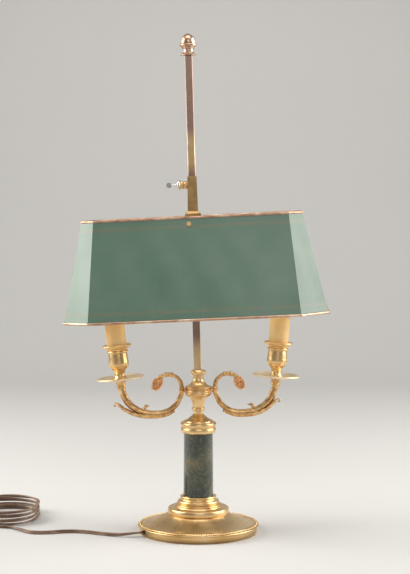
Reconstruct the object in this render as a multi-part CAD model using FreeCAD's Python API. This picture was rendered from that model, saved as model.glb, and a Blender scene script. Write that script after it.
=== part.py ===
import FreeCAD, Part
import math
import os

# Two-light bouillotte lamp, in millimetres, +Z up, +X to the lamp's right.
# The origin is the centre of the base's underside, which rests on z = 0.

Vector = FreeCAD.Vector
AXIS_Z = Vector(0, 0, 1)

# Fits
SLIDE_FIT = 0.08
LOOSE_FIT = 0.2
BODY_GAP = 0.3

# Base plate
BASE_RADIUS = 81.5
BASE_RIM_HEIGHT = 12.2
BASE_RISE = 12.8
BASE_WALL = 2.6
SEAT_WALL = 3.0
SEAT_RADIUS = 42.5
BEAD_RADIUS = 1.35
BEAD_COUNT = 150
LIP_WIDTH = 1.9
LIP_OVERHANG = 3.0
FELT_THICKNESS = 2.0
FELT_LEDGE = 1.5

# Foot and column
TIE_RADIUS = 5.0
TIE_BORE = 3.7
TIE_BELOW_NUT = 2.4
WASHER_RADIUS = 12.0
WASHER_THICKNESS = 1.2
NUT_HEIGHT = 5.0
NUT_ACROSS_FLATS = 16.0
FOOT_RADIUS = 41.3
FOOT_HEIGHT = 11.4
SOCKET_RADIUS = 31.0
SOCKET_HEIGHT = 13.1
COLUMN_BOTTOM_RADIUS = 20.2
COLUMN_TOP_RADIUS = 19.5
COLUMN_LENGTH = 91.5
COLUMN_BORE = 7.0
RECESS_DEPTH = 3.0

# Capital and baluster
CAPITAL_RADIUS = 24.0
CAPITAL_HEIGHT = 29.0
VASE_NECK_RADIUS = 6.5
VASE_TOP_RADIUS = 12.2
VASE_HEIGHT = 19.0
HUB_RADIUS = 17.9
HUB_HEIGHT = 14.5
HUB_CHAMBER_RADIUS = 11.0
HUB_FLOOR = 4.0
HUB_ROOF = 2.0
CAP_NECK_RADIUS = 7.2
CAP_RING_RADIUS = 10.8
CAP_HEIGHT = 21.5

# Rod, finial and the lean of what stands on the baluster
ROD_SIDE = 9.8
ROD_LENGTH = 418.0
ROD_LEAN = 1.65
ROD_SPIGOT_RADIUS = 3.9
ROD_SPIGOT_LENGTH = 12.0
FINIAL_RADIUS = 11.3
FINIAL_FOOT_RADIUS = 10.5
FINIAL_HEIGHT = 28.5
FINIAL_SPIGOT_RADIUS = 2.5
FINIAL_SPIGOT_LENGTH = 9.0

# Branches
ARM_ROLL = 1.0
STACK_SPLAY = 5.0
STACK_REACH = 104.0
STACK_RISE = 15.0
ARM_DROP = 31.0
SCROLL_REACH = 29.0
SCROLL_RISE = 21.4
ARM_ROOT_THICKNESS = 3.4
ARM_BELLY_THICKNESS = 4.4
ARM_TOP_THICKNESS = 5.0
ARM_BALL_RADIUS = 4.5
ARM_SPIGOT_RADIUS = 3.0
ARM_COLLAR_RADIUS = 7.4
ARM_COLLAR_HEIGHT = 10.5
SCROLL_THICKNESS = 3.2
WIRE_RADIUS = 1.0
WIRE_BORE = 1.7
WIRE_OFFSET = 1.7
LEAF_THICKNESS = 1.4
LEFT_LEAF_LIFT = 8.0
RIGHT_LEAF_LIFT = 2.6
HOOK_RADIUS = 1.9
HOOK_HEIGHT = 6.5
CURL_RADIUS = 2.0
CURL_WIDTH = 7.0
CONE_RADIUS = 7.9
CONE_LENGTH = 19.0

# Pan, cup, saucer and candle
NIPPLE_RADIUS = 5.0
NIPPLE_BORE = 3.2
NIPPLE_DEPTH = 4.6
PAN_RADIUS = 32.0
PAN_DEPTH = 4.4
PAN_WALL = 1.6
CUP_RADIUS = 13.4
CUP_HEIGHT = 40.5
CUP_FOOT_HEIGHT = 12.0
CUP_WALL = 1.6
SAUCER_RADIUS = 19.6
SAUCER_HEIGHT = 6.0
CANDLE_RADIUS = 13.2
CANDLE_WALL = 1.2
CANDLE_LENGTH = 72.0
HOLDER_RADIUS = 11.6
HOLDER_STEM_RADIUS = 6.6
BULB_CAP_RADIUS = 6.9
BULB_CAP_LENGTH = 24.0
BULB_RADIUS = 17.5
BULB_LENGTH = 76.0

# Shade, its strap and the sleeve that slides on the rod
SHADE_BASE = 72.5
SHADE_HEIGHT = 132.5
SHADE_BOTTOM_LENGTH = 346.0
SHADE_BOTTOM_DEPTH = 168.0
SHADE_TOP_LENGTH = 289.0
SHADE_TOP_DEPTH = 112.0
SHADE_BOTTOM_CUT = 35.5
SHADE_TOP_CUT = 17.5
CUT_RATIO = 0.9
SHADE_WALL = 0.8
SHADE_YAW = -3.0
SHADE_TILT = 1.1
RIM_RADIUS = 1.7
RIM_OVERLAP = 2.4
STRAP_WIDTH = 18.0
STRAP_THICKNESS = 2.5
STRAP_TAB = 12.0
SCREW_RADIUS = 1.5
SCREW_HEAD_RADIUS = 3.0
SCREW_HEAD_HEIGHT = 1.4
SCREW_OFFSET = -2.4
SPARE_HOLE_OFFSET = 7.9
SLEEVE_FOOT_SIDE = 14.0
SLEEVE_TOP_SIDE = 12.2
SLEEVE_LENGTH = 56.0
FLANGE_SIDE = 21.0
FLANGE_HEIGHT = 9.5
FLANGE_CHAMFER = 3.0

# Thumb screw
CLAMP_HEIGHT = 44.5
BOSS_RADIUS = 5.2
BOSS_LENGTH = 9.5
THUMB_THREAD_RADIUS = 2.5
THUMB_DISC_RADIUS = 6.8
THUMB_DISC_WIDTH = 3.8
THUMB_NECK_RADIUS = 1.4
THUMB_NECK_LENGTH = 7.6
THUMB_KNOB_RADIUS = 3.9
SHOE_THICKNESS = 0.9
SHOE_GAP = 0.05

# Cord
CORD_DIAMETER = 5.0
CORD_EXIT_ANGLE = 203.0
CORD_EXIT_HEIGHT = 5.7
GROMMET_FLANGE_RADIUS = 4.0
GROMMET_FLANGE_WIDTH = 0.9
CONNECTOR_SIZE = Vector(14.0, 12.0, 7.4)
CONNECTOR_REACH = 20.0
HANK_CENTRE = Vector(-272.0, 89.0, 0)
HANK_RADIUS = 48.0
HANK_RUN = 28.0
HANK_STEP = 2.8
HANK_LAYER = 5.5
HANK_LAYERS = 4
SWITCH_LENGTH = 58.0
SWITCH_WIDTH = 21.0
SWITCH_HEIGHT = 15.0
ROCKER_LENGTH = 15.0
ROCKER_WIDTH = 8.0
ROCKER_TRAVEL = 8.0
ROCKER_DEPTH = 3.2
AXLE_RADIUS = 1.2
AXLE_REACH = 1.5
PLUG_LENGTH = 36.0
PLUG_WIDTH = 27.0
PLUG_HEIGHT = 14.0
PIN_RADIUS = 2.0
PIN_LENGTH = 19.0
PIN_SPACING = 18.6

# Heights of the turned pieces, each standing on the one below
wall_radius = BASE_RADIUS - LIP_OVERHANG
seat_height = BASE_RIM_HEIGHT + BASE_RISE
ceiling = seat_height - SEAT_WALL
nut_base = ceiling - WASHER_THICKNESS - NUT_HEIGHT
foot_top = seat_height + FOOT_HEIGHT
socket_top = foot_top + SOCKET_HEIGHT
column_base = socket_top - RECESS_DEPTH
column_top = column_base + COLUMN_LENGTH
capital_base = column_top - RECESS_DEPTH
vase_base = capital_base + CAPITAL_HEIGHT
hub_base = vase_base + VASE_HEIGHT
hub_middle = hub_base + 0.6 * HUB_HEIGHT
hub_top = hub_base + HUB_HEIGHT
cap_top = hub_top + CAP_HEIGHT
rod_foot = cap_top + LOOSE_FIT
cord_radius = CORD_DIAMETER / 2

nodes = {}


def keep(name, shape):
    """Hold a finished piece under its node's name."""
    if not shape.isValid():
        print("NOT VALID", name)
    nodes[name] = shape


def solids(shapes):
    return Part.makeCompound(shapes)


def ring_of(outer, inner, low, high):
    body = Part.makeCylinder(outer, high - low, Vector(0, 0, low))
    return body.cut(Part.makeCylinder(inner, high - low + 2, Vector(0, 0, low - 1)))


def box_around(centre_x, centre_y, low, size_x, size_y, height):
    corner = Vector(centre_x - size_x / 2, centre_y - size_y / 2, low)
    return Part.makeBox(size_x, size_y, height, corner)


def turned(outline):
    """Turn an outline about Z. A pair is a corner; four numbers are an arc's middle and end."""
    edges = []
    start = Vector(outline[0][0], 0, outline[0][1])
    first = start
    for step in outline[1:] + [outline[0][:2]]:
        if len(step) == 4:
            middle = Vector(step[0], 0, step[1])
            end = Vector(step[2], 0, step[3])
            edges.append(Part.Arc(start, middle, end).toShape())
        else:
            end = Vector(step[0], 0, step[1])
            if (end - start).Length < 1e-6:
                continue
            edges.append(Part.makeLine(start, end))
        start = end
    if (start - first).Length > 1e-6:
        edges.append(Part.makeLine(start, first))
    face = Part.Face(Part.Wire(edges))
    return face.revolve(Vector(0, 0, 0), AXIS_Z, 360)


def fused(shapes):
    whole = shapes[0]
    if len(shapes) > 1:
        whole = whole.fuse(shapes[1:])
    return whole.removeSplitter()


def rod_between(start, end, radius):
    return Part.makeCylinder(radius, (end - start).Length, start, end - start)


def strand(points, radius):
    """Straight round runs with a ball at each corner, for wire inside a housing."""
    pieces = []
    for start, end in zip(points, points[1:]):
        pieces.append(rod_between(start, end, radius))
    for corner in points[1:-1]:
        pieces.append(Part.makeSphere(radius, corner))
    return fused(pieces)


def hexagon(across_flats, low, height):
    corners = []
    for index in range(7):
        angle = math.radians(60 * index)
        reach = across_flats / math.sqrt(3)
        corners.append(Vector(reach * math.cos(angle), reach * math.sin(angle), low))
    return Part.Face(Part.makePolygon(corners)).extrude(Vector(0, 0, height))


# Base plate with its row of beads

def base_plate():
    wall_inner = wall_radius - BASE_WALL
    lip_low = BASE_RIM_HEIGHT - 2.9
    lip_high = BASE_RIM_HEIGHT - 0.9
    bead_floor = BASE_RIM_HEIGHT - 1.0
    bead_inner = BASE_RADIUS - LIP_WIDTH - 2 * BEAD_RADIUS - 0.4
    middle = (bead_inner + SEAT_RADIUS) / 2
    slope_middle = BASE_RIM_HEIGHT + 0.33 * BASE_RISE
    felt_radius = wall_inner + FELT_LEDGE
    plate = turned([
        (TIE_RADIUS + LOOSE_FIT, ceiling),
        (SEAT_RADIUS - 3, ceiling),
        (middle, slope_middle - BASE_WALL - 1.2, wall_inner, lip_low - 1.2),
        (wall_inner, FELT_THICKNESS),
        (felt_radius, FELT_THICKNESS),
        (felt_radius, 0),
        (wall_radius, 0),
        (wall_radius, lip_low - 1.4),
        (wall_radius + 0.6, lip_low - 0.2, BASE_RADIUS - 0.9, lip_low),
        (BASE_RADIUS, (lip_low + lip_high) / 2, BASE_RADIUS - 0.9, lip_high),
        (BASE_RADIUS - LIP_WIDTH, lip_high),
        (BASE_RADIUS - LIP_WIDTH, bead_floor),
        (bead_inner, bead_floor),
        (bead_inner, BASE_RIM_HEIGHT),
        (middle, slope_middle, SEAT_RADIUS, seat_height - 0.6),
        (SEAT_RADIUS - 0.5, seat_height),
        (TIE_RADIUS + LOOSE_FIT, seat_height),
    ])
    bead_circle = BASE_RADIUS - LIP_WIDTH - BEAD_RADIUS - 0.2
    beads = []
    for index in range(BEAD_COUNT):
        angle = 2 * math.pi * index / BEAD_COUNT
        place = Vector(bead_circle * math.cos(angle), bead_circle * math.sin(angle), bead_floor)
        beads.append(Part.makeSphere(BEAD_RADIUS, place, AXIS_Z, -20, 90))
    plate = plate.fuse(beads)
    hole = rod_between(exit_point(wall_radius - 8), exit_point(wall_radius + 4), grommet_radius())
    pocket = rod_between(exit_point(wall_radius - 0.2), exit_point(wall_radius + 4),
                         GROMMET_FLANGE_RADIUS + 0.1)
    return plate.cut([hole, pocket])


def exit_direction():
    angle = math.radians(CORD_EXIT_ANGLE)
    return Vector(math.cos(angle), math.sin(angle), 0)


def exit_point(reach):
    return exit_direction() * reach + Vector(0, 0, CORD_EXIT_HEIGHT)


def grommet_radius():
    return cord_radius + 0.9


def base_felt():
    radius = wall_radius - BASE_WALL + FELT_LEDGE - LOOSE_FIT
    return Part.makeCylinder(radius, FELT_THICKNESS)


def cord_grommet():
    inner = wall_radius - BASE_WALL - 1.0
    wall = wall_radius
    outer = wall + GROMMET_FLANGE_WIDTH
    body = rod_between(exit_point(inner), exit_point(outer), grommet_radius())
    flange = rod_between(exit_point(wall - 0.6), exit_point(outer), GROMMET_FLANGE_RADIUS)
    drum = Part.makeCylinder(wall, BASE_RIM_HEIGHT)
    flange = flange.cut(drum)
    bore = rod_between(exit_point(inner - 1), exit_point(outer + 1), cord_radius)
    return fused([body, flange]).cut(bore)


# Foot, socket, column and the tube that ties them

def foot_ring():
    low = seat_height
    top = foot_top
    return turned([
        (TIE_RADIUS + LOOSE_FIT, low),
        (FOOT_RADIUS - 2.2, low),
        (FOOT_RADIUS - 1.4, low + 0.9),
        (FOOT_RADIUS - 0.3, low + 1.2),
        (FOOT_RADIUS, low + 4.2, FOOT_RADIUS - 0.5, low + 7.2),
        (FOOT_RADIUS - 1.2, low + 8.4, FOOT_RADIUS - 2.8, low + 8.9),
        (SOCKET_RADIUS + 2.6, low + 9.2, SOCKET_RADIUS + 0.6, top - 0.4),
        (SOCKET_RADIUS + 0.2, top),
        (TIE_RADIUS + LOOSE_FIT, top),
    ])


def column_socket():
    low = foot_top
    top = socket_top
    recess = COLUMN_BOTTOM_RADIUS + LOOSE_FIT
    return turned([
        (TIE_RADIUS + LOOSE_FIT, low),
        (SOCKET_RADIUS - 0.8, low),
        (SOCKET_RADIUS, low + 1.1, SOCKET_RADIUS - 0.8, low + 2.2),
        (SOCKET_RADIUS - 2.4, low + 2.6),
        (SOCKET_RADIUS - 3.6, low + 3.2),
        (SOCKET_RADIUS - 3.0, low + 5.3, SOCKET_RADIUS - 4.2, low + 7.3),
        (SOCKET_RADIUS - 5.4, low + 7.6),
        (SOCKET_RADIUS - 7.0, low + 8.6, SOCKET_RADIUS - 7.4, low + 10.4),
        (SOCKET_RADIUS - 7.0, low + 10.7),
        (SOCKET_RADIUS - 6.7, low + 12.0, SOCKET_RADIUS - 7.4, top),
        (recess, top),
        (recess, column_base),
        (TIE_RADIUS + LOOSE_FIT, column_base),
    ])


def column():
    return turned([
        (COLUMN_BORE, column_base),
        (COLUMN_BOTTOM_RADIUS, column_base),
        (COLUMN_TOP_RADIUS, column_top),
        (COLUMN_BORE, column_top),
    ])


def capital():
    low = capital_base
    edge = CAPITAL_RADIUS
    recess = COLUMN_TOP_RADIUS + LOOSE_FIT
    top = vase_base
    neck = VASE_NECK_RADIUS
    return turned([
        (recess, low),
        (edge - 1.6, low),
        (edge - 0.9, low + 0.7),
        (edge - 0.5, low + 3.6, edge - 1.1, low + 6.5),
        (edge - 1.8, low + 7.1),
        (edge - 1.8, low + 8.2),
        (edge - 0.6, low + 9.0),
        (edge, low + 11.4, edge - 0.8, low + 13.7),
        (edge - 3.8, low + 14.5),
        (edge - 4.3, low + 15.8),
        (edge - 5.4, low + 16.2),
        (neck + 5.4, low + 20.2, neck, low + 25.0),
        (neck, top),
        (TIE_RADIUS + LOOSE_FIT, top),
        (TIE_RADIUS + LOOSE_FIT, column_top),
        (recess, column_top),
    ])


def vase():
    low = vase_base
    neck = VASE_NECK_RADIUS
    top = hub_base
    return turned([
        (TIE_RADIUS + LOOSE_FIT, low),
        (neck + 0.4, low),
        (neck + 1.5, low + 0.5),
        (neck + 2.3, low + 2.4, neck + 1.5, low + 4.3),
        (neck + 1.1, low + 5.0),
        (neck + 2.6, low + 12.0, VASE_TOP_RADIUS, top - 1.0),
        (VASE_TOP_RADIUS + 0.6, top),
        (TIE_RADIUS + LOOSE_FIT, top),
    ])


def arm_hub():
    low = hub_base
    edge = HUB_RADIUS
    top = hub_top
    mouth = CAP_NECK_RADIUS + LOOSE_FIT
    body = turned([
        (TIE_RADIUS, low),
        (edge - 4.6, low),
        (edge - 0.9, low + 2.2, edge - 0.3, low + 6.2),
        (edge - 0.2, low + 8.4, edge - 0.9, low + 9.6),
        (edge - 1.3, low + 10.2),
        (edge - 1.3, low + 11.2),
        (edge, low + 12.6, edge - 0.8, low + 14.0),
        (edge - 1.5, top),
        (mouth, top),
        (mouth, top - HUB_ROOF),
        (HUB_CHAMBER_RADIUS, top - HUB_ROOF),
        (HUB_CHAMBER_RADIUS, low + HUB_FLOOR),
        (TIE_RADIUS, low + HUB_FLOOR),
    ])
    across = rod_between(Vector(-edge - 2, 0, hub_middle), Vector(edge + 2, 0, hub_middle),
                         ARM_SPIGOT_RADIUS + SLIDE_FIT)
    across.rotate(Vector(0, 0, hub_middle), Vector(0, 1, 0), -ARM_ROLL)
    return body.cut(across)


def baluster_cap():
    low = hub_top
    top = cap_top
    neck = CAP_NECK_RADIUS
    edge = CAP_RING_RADIUS
    body = turned([
        (0, low - HUB_ROOF),
        (neck, low - HUB_ROOF),
        (neck, low),
        (HUB_RADIUS - 1.7, low),
        (neck + 3.1, low + 3.6, neck, low + 9.2),
        (neck, low + 13.4),
        (neck + 0.8, low + 14.8),
        (neck + 0.8, low + 15.8),
        (edge - 0.6, low + 16.4),
        (edge, low + 18.0, edge - 0.7, low + 19.6),
        (ROD_SIDE * 0.72 + 1.2, top),
        (0, top),
    ])
    spigot_way = Part.makeCylinder(ROD_SPIGOT_RADIUS + SLIDE_FIT, CAP_HEIGHT + 10,
                                   Vector(0, 0, low - HUB_ROOF - 5))
    return body.cut(leaned(spigot_way))


def tie_tube():
    return ring_of(TIE_RADIUS, TIE_BORE, nut_base - TIE_BELOW_NUT, hub_base + HUB_FLOOR)


def tie_washer():
    return ring_of(WASHER_RADIUS, TIE_RADIUS + LOOSE_FIT, ceiling - WASHER_THICKNESS, ceiling)


def tie_nut():
    nut = hexagon(NUT_ACROSS_FLATS, nut_base, NUT_HEIGHT)
    return nut.cut(Part.makeCylinder(TIE_RADIUS, NUT_HEIGHT + 2, Vector(0, 0, nut_base - 1)))


# Square rod, its finial and everything that slides on it, built upright over the rod's foot

def leaned(shape):
    turned_shape = shape.copy()
    turned_shape.rotate(Vector(0, 0, hub_base), Vector(0, 1, 0), -ROD_LEAN)
    return turned_shape


def hung(shape):
    """Hang a piece of the shade, drawn over its own bottom edge, in its place on the rod."""
    placed = shape.copy()
    pivot = Vector(0, 0, strap_level)
    placed.rotate(pivot, AXIS_Z, SHADE_YAW)
    placed.rotate(pivot, Vector(0, 1, 0), -SHADE_TILT)
    placed.translate(Vector(0, 0, rod_foot + SHADE_BASE))
    return leaned(placed)


def rod():
    bar = box_around(0, 0, rod_foot, ROD_SIDE, ROD_SIDE, ROD_LENGTH)
    bar = bar.makeChamfer(0.5, [edge for edge in bar.Edges if abs(edge.tangentAt(0).z) > 0.9])
    tenon = Part.makeCylinder(FINIAL_SPIGOT_RADIUS, FINIAL_SPIGOT_LENGTH,
                              Vector(0, 0, rod_foot + ROD_LENGTH))
    spigot = Part.makeCylinder(ROD_SPIGOT_RADIUS, ROD_SPIGOT_LENGTH,
                               Vector(0, 0, rod_foot - ROD_SPIGOT_LENGTH))
    return leaned(fused([bar, tenon, spigot]))


def finial():
    low = rod_foot + ROD_LENGTH
    bore = FINIAL_SPIGOT_RADIUS + SLIDE_FIT
    bore_top = low + FINIAL_SPIGOT_LENGTH + 0.5
    foot = FINIAL_FOOT_RADIUS
    edge = FINIAL_RADIUS
    top = low + FINIAL_HEIGHT
    shape = turned([
        (bore, low),
        (foot - 0.8, low),
        (foot, low + 0.8, foot - 0.8, low + 1.6),
        (7.9, low + 3.4, 6.7, low + 7.2),
        (6.7, low + 8.2),
        (8.0, low + 9.2),
        (8.4, low + 10.4),
        (edge - 1.4, low + 11.6),
        (edge, low + 13.2, edge - 0.8, low + 15.0),
        (edge - 1.6, low + 15.4),
        (8.6, top - 6.4, 3.4, top - 0.9),
        (1.8, top),
        (0, top),
        (0, bore_top),
        (bore, bore_top),
    ])
    return leaned(shape)


strap_level = SHADE_HEIGHT - RIM_OVERLAP - BODY_GAP
sleeve_foot = rod_foot + SHADE_BASE + strap_level + FLANGE_SIDE / 2 * math.sin(math.radians(SHADE_TILT))
sleeve_top = sleeve_foot + SLEEVE_LENGTH
clamp_height = sleeve_foot + CLAMP_HEIGHT


def shade_wire(share, inset=0.0):
    """The shade's eight-sided outline at a share of its height from the bottom."""
    half_length = (SHADE_BOTTOM_LENGTH + share * (SHADE_TOP_LENGTH - SHADE_BOTTOM_LENGTH)) / 2
    half_depth = (SHADE_BOTTOM_DEPTH + share * (SHADE_TOP_DEPTH - SHADE_BOTTOM_DEPTH)) / 2
    cut_x = SHADE_BOTTOM_CUT + share * (SHADE_TOP_CUT - SHADE_BOTTOM_CUT)
    cut_y = CUT_RATIO * cut_x
    height = share * SHADE_HEIGHT
    slant = math.hypot(cut_x, cut_y)
    trim_x = inset * (cut_x + cut_y - slant) / cut_y
    trim_y = inset * (cut_x + cut_y - slant) / cut_x
    half_length -= inset
    half_depth -= inset
    cut_x -= trim_x
    cut_y -= trim_y
    corners = []
    for side_x, side_y, along_first in ((1, -1, True), (1, 1, False), (-1, 1, True), (-1, -1, False)):
        long_corner = Vector(side_x * (half_length - cut_x), side_y * half_depth, height)
        end_corner = Vector(side_x * half_length, side_y * (half_depth - cut_y), height)
        corners += [long_corner, end_corner] if along_first else [end_corner, long_corner]
    return Part.makePolygon(corners + [corners[0]])


def shade_shell():
    outer = Part.makeLoft([shade_wire(0), shade_wire(1)], True, True)
    inner = Part.makeLoft([shade_wire(-0.01, SHADE_WALL), shade_wire(1.01, SHADE_WALL)], True, True)
    return outer.cut(inner)


def shade_body():
    return hung(shade_shell().cut(strap_holes()))


def shade_rim(share):
    """A rolled wire round one edge of the shade, slotted over the sheet's edge."""
    line = shade_wire(share, SHADE_WALL / 2)
    lift = RIM_OVERLAP - RIM_RADIUS if share == 0 else RIM_RADIUS - RIM_OVERLAP
    pieces = []
    corners = [vertex.Point + Vector(0, 0, lift) for vertex in line.OrderedVertexes]
    for start, end in zip(corners, corners[1:] + corners[:1]):
        pieces.append(rod_between(start, end, RIM_RADIUS))
        pieces.append(Part.makeSphere(RIM_RADIUS, start))
    return hung(fused(pieces).cut(shade_shell()))


def wall_depth(height):
    """Half the inside depth of the shade at a height."""
    share = height / SHADE_HEIGHT
    outside = (SHADE_BOTTOM_DEPTH + share * (SHADE_TOP_DEPTH - SHADE_BOTTOM_DEPTH)) / 2
    return outside - SHADE_WALL


def strap_profile():
    reach = wall_depth(strap_level)
    low_reach = wall_depth(strap_level - STRAP_TAB)
    thick = STRAP_THICKNESS
    outline = [
        Vector(0, -reach, strap_level),
        Vector(0, reach, strap_level),
        Vector(0, low_reach, strap_level - STRAP_TAB),
        Vector(0, low_reach - thick, strap_level - STRAP_TAB),
        Vector(0, reach - thick, strap_level - thick),
        Vector(0, thick - reach, strap_level - thick),
        Vector(0, thick - low_reach, strap_level - STRAP_TAB),
        Vector(0, -low_reach, strap_level - STRAP_TAB),
    ]
    face = Part.Face(Part.makePolygon(outline + [outline[0]]))
    face.translate(Vector(-STRAP_WIDTH / 2, 0, 0))
    return face.extrude(Vector(STRAP_WIDTH, 0, 0))


def strap():
    """A flat bar across the inside of the shade, its ends turned down along the sheet."""
    side = ROD_SIDE + 2 * LOOSE_FIT
    window = box_around(0, 0, strap_level - 10, side, side, 20)
    window.rotate(Vector(0, 0, 0), AXIS_Z, -SHADE_YAW)
    return hung(strap_profile().cut(window).cut(strap_holes()))


def strap_places(offset):
    """Points on the outside of the front and back sheets, with the way out of each sheet."""
    height = strap_level - STRAP_TAB / 2
    tilt = math.atan((SHADE_BOTTOM_DEPTH - SHADE_TOP_DEPTH) / 2 / SHADE_HEIGHT)
    places = []
    for side in (-1, 1):
        outside = side * (wall_depth(height) + SHADE_WALL)
        normal = Vector(0, side * math.cos(tilt), math.sin(tilt))
        places.append((Vector(offset, outside, height), normal))
    return places


def strap_holes():
    holes = []
    for place, normal in strap_places(SCREW_OFFSET) + strap_places(SPARE_HOLE_OFFSET):
        holes.append(rod_between(place - normal * 8, place + normal * 4, SCREW_RADIUS))
    return solids(holes)


def strap_screws():
    screws = []
    for place, normal in strap_places(SCREW_OFFSET):
        shank = rod_between(place - normal * (SHADE_WALL + STRAP_THICKNESS + 0.6), place, SCREW_RADIUS)
        head = rod_between(place, place + normal * SCREW_HEAD_HEIGHT, SCREW_HEAD_RADIUS)
        screws.append(fused([shank, head]))
    return hung(solids(screws))


def square_at(side, height):
    half = side / 2
    corners = [Vector(-half, -half, height), Vector(half, -half, height),
               Vector(half, half, height), Vector(-half, half, height)]
    return Part.makePolygon(corners + [corners[0]])


def sleeve():
    flange_top = sleeve_foot + FLANGE_HEIGHT
    outer = Part.makeLoft([square_at(SLEEVE_FOOT_SIDE, sleeve_foot),
                           square_at(SLEEVE_TOP_SIDE, sleeve_top)], True, True)
    plate = box_around(0, 0, sleeve_foot, FLANGE_SIDE, FLANGE_SIDE, FLANGE_HEIGHT - FLANGE_CHAMFER)
    slope = Part.makeLoft([square_at(FLANGE_SIDE, flange_top - FLANGE_CHAMFER),
                           square_at(SLEEVE_FOOT_SIDE, flange_top)], True, True)
    bore_side = ROD_SIDE + 2 * SLIDE_FIT
    bore = box_around(0, 0, sleeve_foot - 1, bore_side, bore_side, SLEEVE_LENGTH + 2)
    hole = rod_between(Vector(-20, 0, clamp_height), Vector(0, 0, clamp_height), thread_bore())
    return leaned(fused([outer, plate, slope]).cut(bore).cut(hole))


def thread_bore():
    return THUMB_THREAD_RADIUS + SLIDE_FIT


def about_clamp(shape):
    """Lay a piece that was turned about Z along the clamp's axis, its top to the left."""
    laid = shape.copy()
    laid.rotate(Vector(0, 0, 0), Vector(0, 1, 0), -90)
    laid.translate(Vector(0, 0, clamp_height))
    return leaned(laid)


def sleeve_face():
    """Half the sleeve's width at the clamp."""
    share = CLAMP_HEIGHT / SLEEVE_LENGTH
    return (SLEEVE_FOOT_SIDE + share * (SLEEVE_TOP_SIDE - SLEEVE_FOOT_SIDE)) / 2


def screw_boss():
    low = sleeve_face() + 0.25
    high = sleeve_face() + BOSS_LENGTH
    edge = BOSS_RADIUS
    middle = (low + high) / 2
    return about_clamp(turned([
        (thread_bore(), low),
        (edge - 0.6, low),
        (edge, (low + middle) / 2, edge - 0.6, middle - 0.5),
        (edge - 1.3, middle),
        (edge - 0.6, middle + 0.5),
        (edge, (high + middle) / 2, edge - 0.6, high),
        (thread_bore(), high),
    ]))


def clamp_shoe():
    low = ROD_SIDE / 2 + SHOE_GAP
    return about_clamp(Part.makeCylinder(THUMB_THREAD_RADIUS - 0.1, SHOE_THICKNESS, Vector(0, 0, low)))


def thumb_screw():
    tip = ROD_SIDE / 2 + SHOE_GAP + SHOE_THICKNESS + SHOE_GAP
    disc_low = sleeve_face() + BOSS_LENGTH + BODY_GAP
    disc_high = disc_low + THUMB_DISC_WIDTH
    neck_high = disc_high + THUMB_NECK_LENGTH
    edge = THUMB_DISC_RADIUS
    knob_top = neck_high + 2 * THUMB_KNOB_RADIUS - 0.8
    stem = turned([
        (0, tip),
        (THUMB_THREAD_RADIUS, tip),
        (THUMB_THREAD_RADIUS, disc_low),
        (edge - 1.0, disc_low),
        (edge, (disc_low + disc_high) / 2, edge - 1.0, disc_high),
        (THUMB_NECK_RADIUS, disc_high + 1.2),
        (THUMB_NECK_RADIUS, neck_high + 1.0),
        (0, neck_high + 1.0),
    ])
    knob = Part.makeSphere(THUMB_KNOB_RADIUS, Vector(0, 0, neck_high + THUMB_KNOB_RADIUS - 0.4))
    slab = box_around(0, 0, neck_high - 1, 2 * THUMB_KNOB_RADIUS, 4.2, knob_top - neck_high + 2)
    return about_clamp(fused([stem, knob.common(slab)]))


# Branches, drawn for the right side about the hub's centre and mirrored for the left

def placed_on_side(shape, side):
    placed = shape if side > 0 else shape.mirror(Vector(0, 0, 0), Vector(1, 0, 0))
    placed = placed.copy()
    placed.translate(Vector(0, 0, hub_middle))
    placed.rotate(Vector(0, 0, hub_middle), Vector(0, 1, 0), -ARM_ROLL)
    return placed


def stacked(shape):
    """Put a piece that stands upright over the pan's seat onto the branch's end."""
    tilted = shape.copy()
    tilted.rotate(Vector(0, 0, 0), Vector(0, 1, 0), STACK_SPLAY)
    tilted.translate(Vector(STACK_REACH, 0, STACK_RISE))
    return tilted


def stack_axis():
    angle = math.radians(STACK_SPLAY)
    return Vector(math.sin(angle), 0, math.cos(angle))


arm_root = HUB_RADIUS + ARM_BALL_RADIUS - 0.2


def shared_curve(shares, across, down, first_tangent, last_tangent, end=None):
    """A smooth line whose points are shares of its reach and of its depth, from the ball."""
    points = [Vector(arm_root + x * across, 0, z * down) for x, z in shares]
    if end is not None:
        points.append(end)
    curve = Part.BSplineCurve()
    curve.interpolate(Points=points, InitialTangent=first_tangent, FinalTangent=last_tangent)
    return curve


def branch_curve():
    axis = stack_axis()
    end = Vector(STACK_REACH, 0, STACK_RISE) - axis * (ARM_COLLAR_HEIGHT - 2)
    shares = [(0, 0), (0.03, -0.30), (0.105, -0.64), (0.25, -0.91), (0.44, -1.0),
              (0.65, -0.92), (0.82, -0.67), (0.93, -0.30)]
    return shared_curve(shares, STACK_REACH - arm_root, ARM_DROP, Vector(0.2, 0, -1), axis, end)


def scroll_curve():
    shares = [(0, 0.05), (0.07, 0.55), (0.33, 0.91), (0.68, 1.0), (1.0, 0.76)]
    return shared_curve(shares, SCROLL_REACH, SCROLL_RISE, AXIS_Z, Vector(0.35, 0, -1))


def station(curve, share):
    """Place, direction and outward side of a branch curve at a share of its parameter."""
    value = curve.FirstParameter + share * (curve.LastParameter - curve.FirstParameter)
    place = curve.value(value)
    along = Vector(*curve.tangent(value)[0]).normalize()
    return place, along, Vector(along.z, 0, -along.x)


def swept(curve, radii):
    """A round bar along a curve, its radii given at even steps of the curve's parameter."""
    rings = []
    for index, radius in enumerate(radii):
        place, along, _ = station(curve, index / max(1, len(radii) - 1))
        rings.append(Part.Wire(Part.Circle(place, along, radius).toShape()))
    return Part.Wire([curve.toShape()]).makePipeShell(rings, True)


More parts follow.
